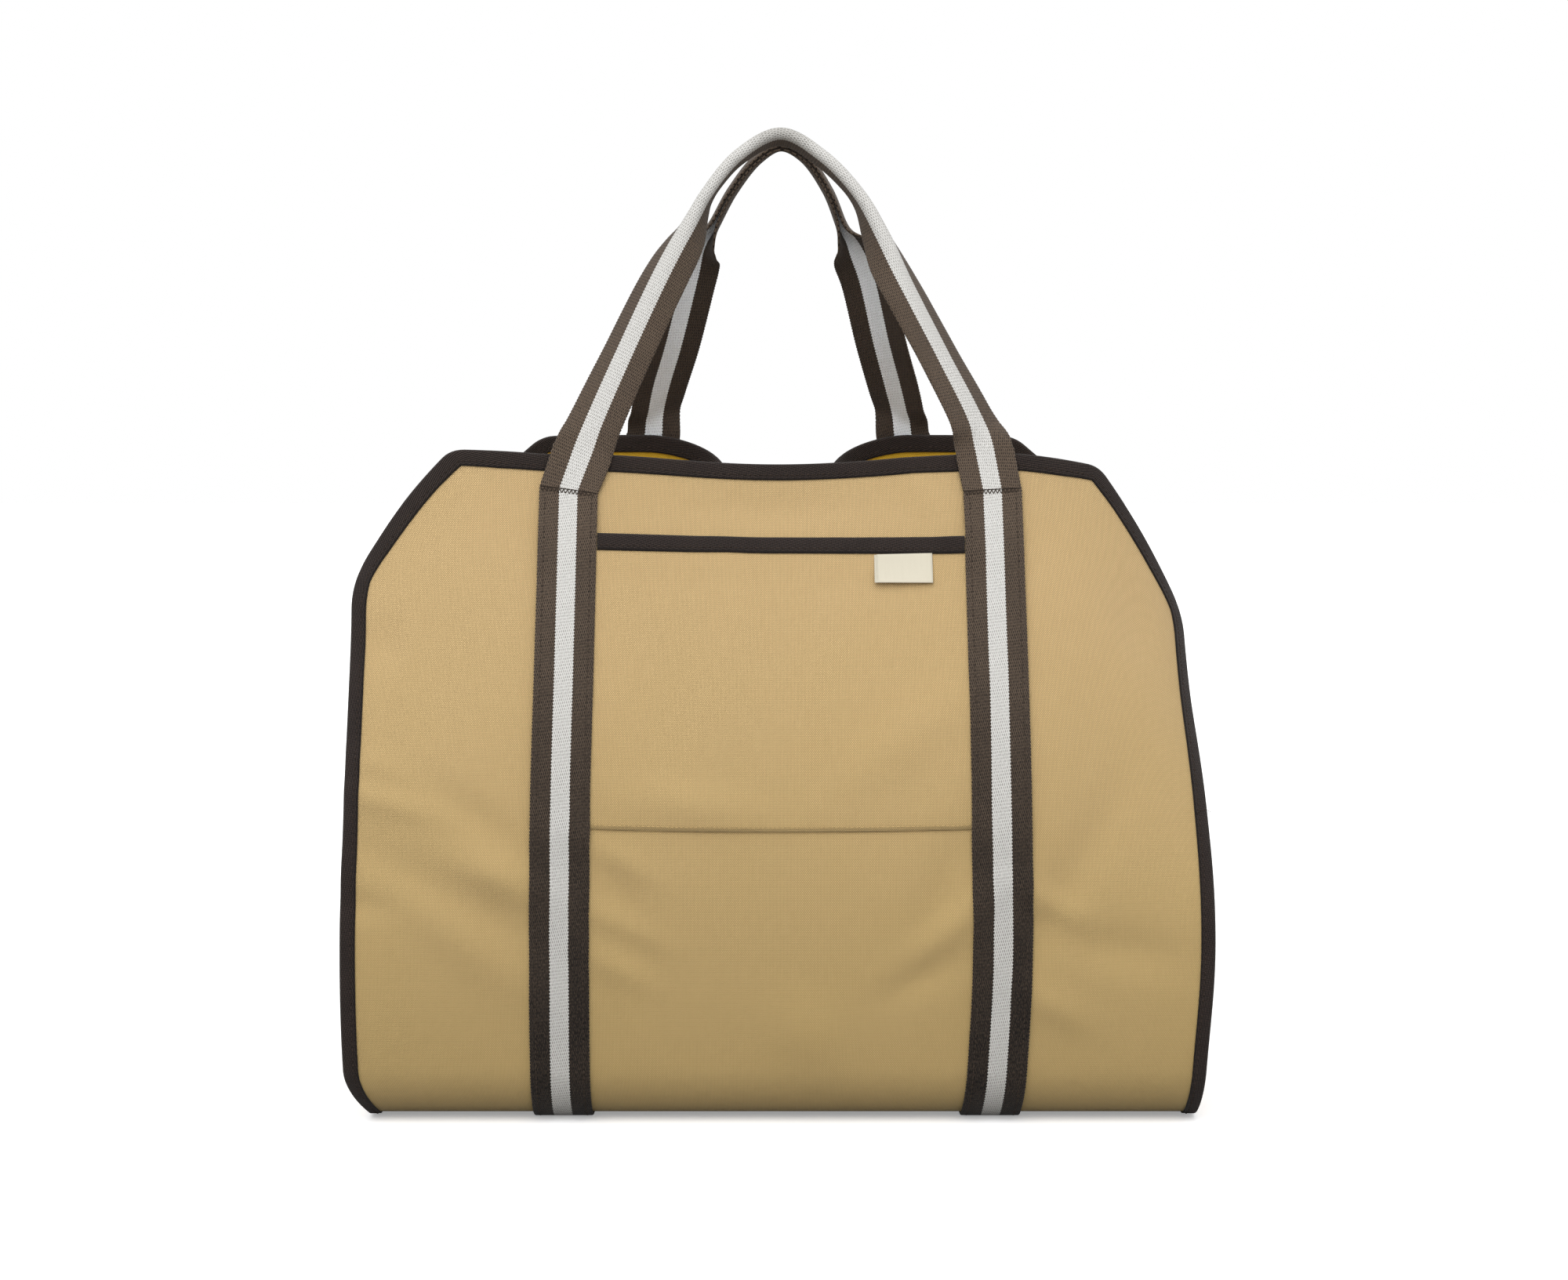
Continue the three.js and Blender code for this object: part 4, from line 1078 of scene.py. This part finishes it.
def build_strap(side, name):
    """Strap: the webbing's section carried along the cloth from tack line to tack line."""
    along = stops(-TACK, TACK, WEBBING_STEP)[:, None]
    place = scalloped(PLACE, along)
    near = ease(np.abs(along), TACK - SLANT_REACH, TACK)
    slants = [math.tan(math.radians(TACKS[face, side]["slant"])) for face in (-1, 1)]
    slope = np.where(along < 0, slants[0], slants[1]) * np.sign(along) * near
    across = side * STRAP_CENTRE + place
    lines = along + side * place * slope
    rings = lifted_point(across, lines, strap_lift(lines) + WEBBING_THICKNESS / 2 + HEIGHT)
    flat = np.stack([PLACE + 0 * along, lines], -1)
    return stitched_grid(name, rings, flat, [WEBBING])


def sewn_lift(face):
    """Height of a handle's middle layer above the cloth where it is sewn on."""
    return float(strap_lift(face * TACK)) + WEBBING_THICKNESS / 2


def sewn_rings(face, side, share, turned):
    """Rings of a handle where it is sewn on, at shares of the way from the tack line to the
    tape's outer line. Past 1 they go on along the cloth's direction at the edge."""
    share = np.asarray(share, float)[:, None]
    first = TACK + CLEARANCE
    last = PANEL_LENGTH + LAYER + CLEARANCE
    travel = first + (last - first) * share
    slant = math.tan(math.radians(TACKS[face, side]["slant"]))
    lean = math.tan(math.radians(TACKS[face, side]["lean"]))
    centre = side * (STRAP_CENTRE - (travel - TACK) * lean)
    slope = side * (slant + (lean - slant) * np.clip(share, 0, 1))
    offset = turned * scalloped(PLACE, travel)
    along = face * (travel + offset * slope)
    return lifted_point(centre + offset, along, sewn_lift(face) + HEIGHT), travel[:, 0]


def sewn_middle(face, side, share):
    """Middle of the webbing and its outward direction at one share of the sewn part."""
    travel = TACK + CLEARANCE + (PANEL_LENGTH + LAYER - TACK) * share
    lean = math.tan(math.radians(TACKS[face, side]["lean"]))
    centre = side * (STRAP_CENTRE - (travel - TACK) * lean)
    point, _, normal = cloth_frame(np.array(centre), np.array(face * travel))
    return point + normal * sewn_lift(face), normal


def spine_curve(points, place):
    """Point and direction of a centripetal Catmull-Rom curve, counted in points from its start:
    a cubic between each two points whose end slopes weigh the neighbours by the roots of their
    distances."""
    padded = np.concatenate([[2 * points[0] - points[1]], points, [2 * points[-1] - points[-2]]])
    index = np.clip(np.floor(place).astype(int), 0, len(points) - 2)
    share = (place - index)[:, None]
    p0, p1, p2, p3 = (padded[index + k] for k in range(4))
    gaps = np.sqrt(np.linalg.norm(np.diff(padded, axis=0), axis=1))[:, None]
    d0, d1, d2 = (gaps[index + k] for k in range(3))
    t1 = ((p1 - p0) / d0 - (p2 - p0) / (d0 + d1) + (p2 - p1) / d1) * d1
    t2 = ((p2 - p1) / d1 - (p3 - p1) / (d1 + d2) + (p3 - p2) / d2) * d1
    square = -3 * p1 + 3 * p2 - 2 * t1 - t2
    cube = 2 * p1 - 2 * p2 + t1 + t2
    point = p1 + t1 * share + square * share**2 + cube * share**3
    return point, unit(t1 + 2 * square * share + 3 * cube * share**2)


def folded_section(fold):
    """Section of the webbing at each fold angle: to the side, behind the spine, and tilt. The
    middle bends on a circle and the sides stay straight."""
    half = np.maximum(np.radians(fold) / 2, 1e-4)[:, None]
    radius = BENT_HALF / half
    bent = np.clip(PLACE, -BENT_HALF, BENT_HALF)
    straight = np.abs(PLACE - bent)
    tilt = bent / radius
    side = radius * np.sin(tilt) + np.sign(PLACE) * straight * np.cos(half)
    behind = radius * (1 - np.cos(tilt)) + straight * np.sin(half)
    return side, behind, tilt


def smoothed(values, width):
    """Running mean over a width of rings to each side, the ends held."""
    ends = [np.repeat(values[k:][:1], width, 0) for k in (0, -1)]
    padded = np.concatenate([ends[0], values, ends[1]])
    total = np.cumsum(np.concatenate([np.zeros_like(padded[:1]), padded]), 0)
    span = 2 * width + 1
    return (total[span:] - total[:-span]) / span


def handle_path(face, table, rise):
    """Spine points, outward directions and folds of a handle's frames, from left to right."""
    left = [sewn_middle(face, -1, share) for share in (0, 1)]
    right = [sewn_middle(face, 1, share) for share in (1, 0)]
    across = np.array(table["across"])
    edges = np.where(across[:, None] < 0, left[1][0], right[0][0])
    grip = np.array([0, face * GRIP_SPREAD, left[1][0][2] + rise])
    inward = np.array(table["inward"])
    lifted = np.array(table["rise"])
    y = edges[:, 1] + (grip[1] - edges[:, 1]) * inward
    z = edges[:, 2] + (grip[2] - edges[:, 2]) * lifted
    free = np.stack([across * STRAP_CENTRE, y, z], -1)
    points = np.concatenate([[left[0][0], left[1][0]], free, [right[0][0], right[1][0]]])
    _, tangent = spine_curve(points, np.arange(len(points), dtype=float))
    facing = np.array([0, face, 0]) - face * tangent[:, 1:2] * tangent
    facing = unit(facing)
    outside = -face * np.cross(facing, tangent)
    turn = np.radians(np.concatenate([[0, 0], table["turn"], [0, 0]]))[:, None]
    outward = facing * np.cos(turn) + outside * np.sin(turn)
    outward[[0, 1, -2, -1]] = [left[0][1], left[1][1], right[0][1], right[1][1]]
    fold = np.concatenate([[0, 0], table["fold"], [0, 0]]).astype(float)
    return points, outward, fold


def build_handle(face, table, rise, name):
    """Handle: sewn rings up to each edge, then rings folded along the spine, the two kinds
    eased into each other over the first stretch."""
    points, outward, fold = handle_path(face, table, rise)
    last = len(points) - 2
    dense = np.linspace(1, last, 4000)
    line, _ = spine_curve(points, dense)
    run = np.concatenate([[0], np.cumsum(np.linalg.norm(np.diff(line, axis=0), axis=1))])
    place = np.interp(stops(0, run[-1], WEBBING_STEP), run, dense)
    spine, tangent = spine_curve(points, place)
    frames = np.arange(len(points))
    outward = np.stack([np.interp(place, frames, outward[:, k]) for k in range(3)], -1)
    outward = smoothed(outward, TURN_SMOOTHING)
    outward = unit(outward - np.sum(outward * tangent, -1, keepdims=True) * tangent)
    fold = smoothed(np.interp(place, frames, fold)[:, None], FOLD_SMOOTHING)[:, 0]
    aside, behind, tilt = folded_section(fold)
    sideways = np.cross(tangent, outward)
    length = stops(0, run[-1], WEBBING_STEP)
    reach = (scalloped(PLACE, length[:, None]) - PLACE) * np.cos(tilt)
    across = aside + np.sin(tilt) * HEIGHT + reach
    out = np.cos(tilt) * HEIGHT - behind
    rings = spine[:, None] + sideways[:, None] * across[..., None]
    rings = rings + outward[:, None] * out[..., None]

    for side, start, away in ((-1, 0, length), (1, -1, run[-1] - length)):
        edge, _ = sewn_rings(face, side, [1.0], side * face)
        near = ease(away, LEAVING_REACH, 0)[:, None, None]
        moved = edge + (spine - spine[start])[:, None]
        rings = rings + (moved - rings) * near
    shares = stops(0, 1, WEBBING_STEP / (PANEL_LENGTH + LAYER - TACK))[:-1]
    left, left_travel = sewn_rings(face, -1, shares, -face)
    right, _ = sewn_rings(face, 1, shares, face)
    rings = np.concatenate([left, rings, right[::-1]])
    sewn = left_travel - left_travel[0]
    down = np.concatenate([sewn - sewn[-1] - WEBBING_STEP, length, run[-1] + WEBBING_STEP + sewn])
    down = down[:, None] + GRIP_PLACE - run[-1] / 2
    flat = np.stack(np.broadcast_arrays(PLACE, down), -1)
    # The inner faces take the webbing copy with painted light and shade.
    return stitched_grid(name, rings, flat, [WEBBING, PAINTED_LIGHT_WEBBING], inner_painted(len(PLACE)))


def stitch_mesh(name, middle, way, normal, finish, length=STITCH_LENGTH, radius=0.28):
    """Stitches of one seam: each a short thread that rises from the cloth and dips back in, as
    4 rings of 6 points, put at its middle with its own direction and normal."""
    normal = unit(normal - np.sum(normal * way, -1, keepdims=True) * way)
    aside = np.cross(way, normal)
    step = np.array([-0.5, -0.3, 0.3, 0.5])[:, None]
    rise = np.array([-0.35, 0.12, 0.12, -0.35])[:, None]
    size = np.array([0.55, 1, 1, 0.55])[:, None]
    turn = np.radians(np.arange(6) * 60)
    length = np.broadcast_to(np.asarray(length, float), (len(middle),))[:, None, None]
    x = step * length + 0 * turn
    y = radius * size * np.cos(turn) + 0 * x
    z = rise + radius * size * np.sin(turn) + 0 * x
    points = middle[:, None, None] + x[..., None] * way[:, None, None]
    points = points + y[..., None] * aside[:, None, None] + z[..., None] * normal[:, None, None]
    i, j = np.meshgrid(np.arange(3), np.arange(6), indexing="ij")
    after = (j + 1) % 6
    sides = np.stack([i * 6 + after, i * 6 + j, (i + 1) * 6 + j, (i + 1) * 6 + after], -1)
    caps = np.array([[0, 1, 2, 3], [0, 3, 4, 5], [21, 20, 19, 18], [23, 22, 21, 18]])
    shape = np.concatenate([sides.reshape(-1, 4), caps])
    count = len(middle)
    faces = (shape[None] + 24 * np.arange(count)[:, None, None]).reshape(-1, 4)
    points = points.reshape(-1, 3)
    place = np.tile(np.arange(24), count)
    flat = np.stack([place // 6 * 0.7, place % 6 * 0.25], -1)
    if signed_volume(points, faces) < 0:
        faces = faces[:, ::-1]
    return put_mesh(name, points * MM, faces, [finish], flat[faces])


def along_line(corners, spacing):
    """Places at an even spacing along a line of corners on the flat cloth."""
    steps = np.linalg.norm(np.diff(corners, axis=0), axis=1)
    length = np.concatenate([[0], np.cumsum(steps)])
    at = np.arange(spacing / 2, length[-1], spacing)
    return np.stack([np.interp(at, length, corners[:, k]) for k in range(2)], -1)


def seam_parts(places, height, face=1):
    """Middles, directions and normals of stitches at places on the flat cloth, at a height over
    its outer face (face 1) or below it (face -1)."""
    point, _, normal = cloth_frame(places[:, 0], places[:, 1])
    ahead = np.gradient(places, axis=0)
    ahead = ahead / np.linalg.norm(ahead, axis=1, keepdims=True) * 0.5
    before = cloth_point(places[:, 0] - ahead[:, 0], places[:, 1] - ahead[:, 1])
    after = cloth_point(places[:, 0] + ahead[:, 0], places[:, 1] + ahead[:, 1])
    middle = point + normal * (np.zeros(len(places)) + height)[:, None]
    return middle, unit(after - before), normal * face


def joined_seams(name, parts, finish, **sizes):
    """One mesh of several seams."""
    middle, way, normal = (np.concatenate(list(group)) for group in zip(*parts))
    return stitch_mesh(name, middle, way, normal, finish, **sizes)


def sew_edge_tape():
    """Seam near the tape's own edge, seen on both faces of the cloth."""
    stations = edge_stations()
    corners = stations[:, :2] + stations[:, 2:4] * stations[:, 4:] * (TAPE_COVER - TAPE_SEAM_INSET)
    places = along_line(np.concatenate([corners, corners[:1]]), STITCH_STEP)
    places = np.stack(rounded(places[:, 0], places[:, 1]), -1)
    outside = seam_parts(places, TAPE_FACE)
    inside = seam_parts(places, -CLOTH_THICKNESS - TAPE_FACE, -1)
    return joined_seams("edge_tape_seam", [outside, inside], BROWN_THREAD)


def sew_pocket():
    """Seams of the pocket: along its tape, and over its turned bottom hem."""
    half = STRAP_INNER - 1.5
    x = np.linspace(-half, half, 60)
    line = np.stack([x, POCKET_COVER - TAPE_SEAM_INSET - pocket_top(x)], -1)
    top = seam_parts(along_line(line, STITCH_STEP), MOUTH_LIFT + POCKET_THICKNESS + TAPE_FACE)
    line = np.stack([x, -pocket_seam(x) - HEM_SEAM_INSET], -1)
    low = seam_parts(along_line(line, HEM_STITCH_STEP), CLEARANCE + POCKET_THICKNESS - 0.12)
    return (
        joined_seams("pocket_tape_seam", [top], BROWN_THREAD),
        joined_seams("pocket_hem_seam", [low], TAN_THREAD, length=HEM_STITCH_LENGTH, radius=0.18),
    )


def sew_strap(side, name):
    """Two seams along a strap, near its selvages, sunk deeper under the bottom."""
    parts = []
    for place in (-STRAP_SEAM, STRAP_SEAM):
        across = side * STRAP_CENTRE + place
        places = along_line(np.array([[across, -TACK + 4], [across, TACK - 4]]), STITCH_STEP)
        rest = ease(np.abs(places[:, 1]), 70, 110)
        height = strap_lift(places[:, 1]) + WEBBING_THICKNESS - 0.45 + 0.37 * rest
        parts.append(seam_parts(places, height))
    return joined_seams(name, parts, STRAP_THREAD)


def sew_tack(face, side):
    """Tack: a straight seam over the join of strap and handle and a zigzag below it, as ends
    of each stitch."""
    slant = side * math.tan(math.radians(TACKS[face, side]["slant"]))
    half = WEBBING_WIDTH / 2 - 0.8
    x = np.linspace(-half, half, 16)
    line = np.stack([x, TACK_LINE + 0 * x], -1)
    teeth = np.arange(-half, half, ZIGZAG_PITCH / 2)
    low = np.where(np.arange(len(teeth)) % 2 == 0, 0.1, -ZIGZAG_DEPTH)
    zigzag = np.stack([teeth, low], -1)
    starts = np.concatenate([line[:-1], zigzag[:-1]])
    ends = np.concatenate([line[1:], zigzag[1:]])

    def put(places):
        travel = TACK + places[:, 1] + slant * places[:, 0]
        height = float(strap_lift(face * TACK)) + WEBBING_THICKNESS + 0.1
        across = side * STRAP_CENTRE + places[:, 0]
        return lifted_point(across, face * travel, height), across, face * travel

    first, _, _ = put(starts)
    second, _, _ = put(ends)
    middle, across, along = put((starts + ends) / 2)
    _, _, normal = cloth_frame(across, along)
    return middle, unit(second - first), normal, np.linalg.norm(second - first, axis=1)


def sew_tacks():
    """All four tacks as one mesh."""
    parts = [sew_tack(face, side) for face in (-1, 1) for side in (-1, 1)]
    middle, way, normal, length = (np.concatenate(list(group)) for group in zip(*parts))
    sizes = {"length": length * 1.05, "radius": 0.25}
    return stitch_mesh("tack_seams", middle, way, normal, STRAP_THREAD, **sizes)


def build_loose_thread():
    """Loose thread at the right edge: a thin tube that tapers along its run out of the tape, on
    an arc that is most of a half sine high."""
    start = lifted_point(HALF_WIDTH - THREAD_IN, THREAD_ALONG, LAYER + 0.1)
    share = np.linspace(0, 1, 13)[:, None]
    arc = np.array([0, 0, THREAD_ARC]) * np.sin(2.6 * share)
    path = start + np.array(THREAD_RUN) * share + arc
    way = unit(np.gradient(path, axis=0))
    upward = np.array([0, -0.4, 1.0])
    aside = unit(np.cross(way, upward))
    over = np.cross(aside, way)
    turn = np.radians(np.arange(6) * 60)
    taper = THREAD_RADIUS * (1 - 0.5 * share[:, :, None])
    ring = aside[:, None] * np.cos(turn)[:, None] + over[:, None] * np.sin(turn)[:, None]
    rings = path[:, None] + ring * taper
    flat = np.stack(np.broadcast_arrays(share * 8, turn), -1)
    return stitched_grid("loose_thread", rings, flat, [BROWN_THREAD])


CANVAS_PIECE = build_canvas()
EDGE_PIECE = build_edge_tape()
POCKET_PIECE = build_pocket()
POCKET_TAPE_PIECE = build_pocket_tape()
LABEL_PIECE = build_label()
LEFT_STRAP = build_strap(-1, "webbing_left")
RIGHT_STRAP = build_strap(1, "webbing_right")
FRONT_PIECE = build_handle(-1, FRONT_HANDLE, FRONT_HANDLE_RISE, "front_loop")
BACK_PIECE = build_handle(1, BACK_HANDLE, BACK_HANDLE_RISE, "back_loop")
EDGE_SEAM = sew_edge_tape()
POCKET_TAPE_SEAM, POCKET_HEM_SEAM = sew_pocket()
LEFT_SEAM = sew_strap(-1, "left_strap_seams")
RIGHT_SEAM = sew_strap(1, "right_strap_seams")
TACK_SEAMS = sew_tacks()
LOOSE_THREAD = build_loose_thread()

# What each piece stands for, and its finish.
for piece, node, slot in (
    (CANVAS_PIECE, "canvas_body", "canvas"),
    (EDGE_PIECE, "edge_binding", "binding"),
    (POCKET_PIECE, "pocket_panel", "canvas"),
    (POCKET_TAPE_PIECE, "pocket_binding", "binding"),
    (LABEL_PIECE, "label", "label"),
    (LEFT_STRAP, "strap_left", "webbing"),
    (RIGHT_STRAP, "strap_right", "webbing"),
    (FRONT_PIECE, "handle_front", "webbing"),
    (BACK_PIECE, "handle_back", "webbing"),
    (EDGE_SEAM, None, "binding"),
    (POCKET_TAPE_SEAM, None, "binding"),
    (POCKET_HEM_SEAM, None, "canvas"),
    (LEFT_SEAM, None, "webbing"),
    (RIGHT_SEAM, None, "webbing"),
    (TACK_SEAMS, None, "webbing"),
    (LOOSE_THREAD, None, "binding"),
):
    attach(piece, "root")
    if node:
        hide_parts(node)

# Floor: bright with a faint glow to the camera, and grey to the light.
FLOOR_REACH = 40
floor_mesh = bpy.data.meshes.new("floor")
corners = [(x * FLOOR_REACH, y * FLOOR_REACH, 0) for x, y in ((-1, -1), (1, -1), (1, 1), (-1, 1))]
floor_mesh.from_pydata(corners, [], [(0, 1, 2, 3)])
floor = bpy.data.objects.new("floor", floor_mesh)
bpy.context.collection.objects.link(floor)
floor_finish = bpy.data.materials.new("pale floor")
floor_finish.use_nodes = True
paint = Wiring(floor_finish.node_tree)
seen = paint.node("ShaderNodeLightPath").outputs["Is Camera Ray"]
base = paint.blend(seen, colour(0.3, 0.3, 0.3), colour(0.92, 0.92, 0.92))
glow = paint.blend(seen, colour(0, 0, 0), colour(0.3, 0.3, 0.3))
floor_shader = floor_finish.node_tree.nodes["Principled BSDF"]
paint.feed(floor_shader.inputs["Base Color"], base)
paint.feed(floor_shader.inputs["Emission Color"], glow)
floor_shader.inputs["Emission Strength"].default_value = 1.0
floor_shader.inputs["Roughness"].default_value = 0.9
floor_mesh.materials.append(floor_finish)

# Studio: white up to 12 degrees over the horizon, then a little dimmer.
world = bpy.data.worlds.new("studio")
world.use_nodes = True
sky = Wiring(world.node_tree)
heading = sky.node("ShaderNodeTexCoord").outputs["Generated"]
dim = sky.between(sky.parts(heading)[2], 0.2, 0.5)
backdrop = world.node_tree.nodes["Background"]
sky.feed(backdrop.inputs["Color"], sky.blend(dim, colour(1, 1, 1), colour(0.85, 0.85, 0.85)))
backdrop.inputs["Strength"].default_value = 1.0
bpy.context.scene.world = world
bpy.context.scene.view_settings.view_transform = "Standard"


def add_sun(name, azimuth, elevation, strength):
    """Soft sun from a side, counted from the front towards the right, and a height."""
    lamp = bpy.data.lights.new(name, "SUN")
    lamp.angle = math.radians(60)
    lamp.energy = strength
    light = bpy.data.objects.new(name, lamp)
    bpy.context.collection.objects.link(light)
    light.rotation_euler = (math.radians(90 - elevation), 0, math.radians(azimuth))


# Two soft suns: the key from high in front, a little to the left, and the fill from low.
add_sun("key", azimuth=-10, elevation=50, strength=1.58)
add_sun("fill", azimuth=0, elevation=5, strength=0.7)

# Camera in front of the carrier, tilted down a little. The photo is 2000 pixels wide, and the
# lens is 4488 pixels long.
SENSOR_WIDTH = 36
lens = bpy.data.cameras.new("camera")
lens.sensor_fit = "HORIZONTAL"
lens.sensor_width = SENSOR_WIDTH
lens.lens = SENSOR_WIDTH * 4488 / 2000
camera = bpy.data.objects.new("camera", lens)
bpy.context.collection.objects.link(camera)
camera.location = (0.0035, -2.0, 0.35)
camera.rotation_euler = (math.radians(90 - 2.6897), 0, 0)
bpy.context.scene.camera = camera
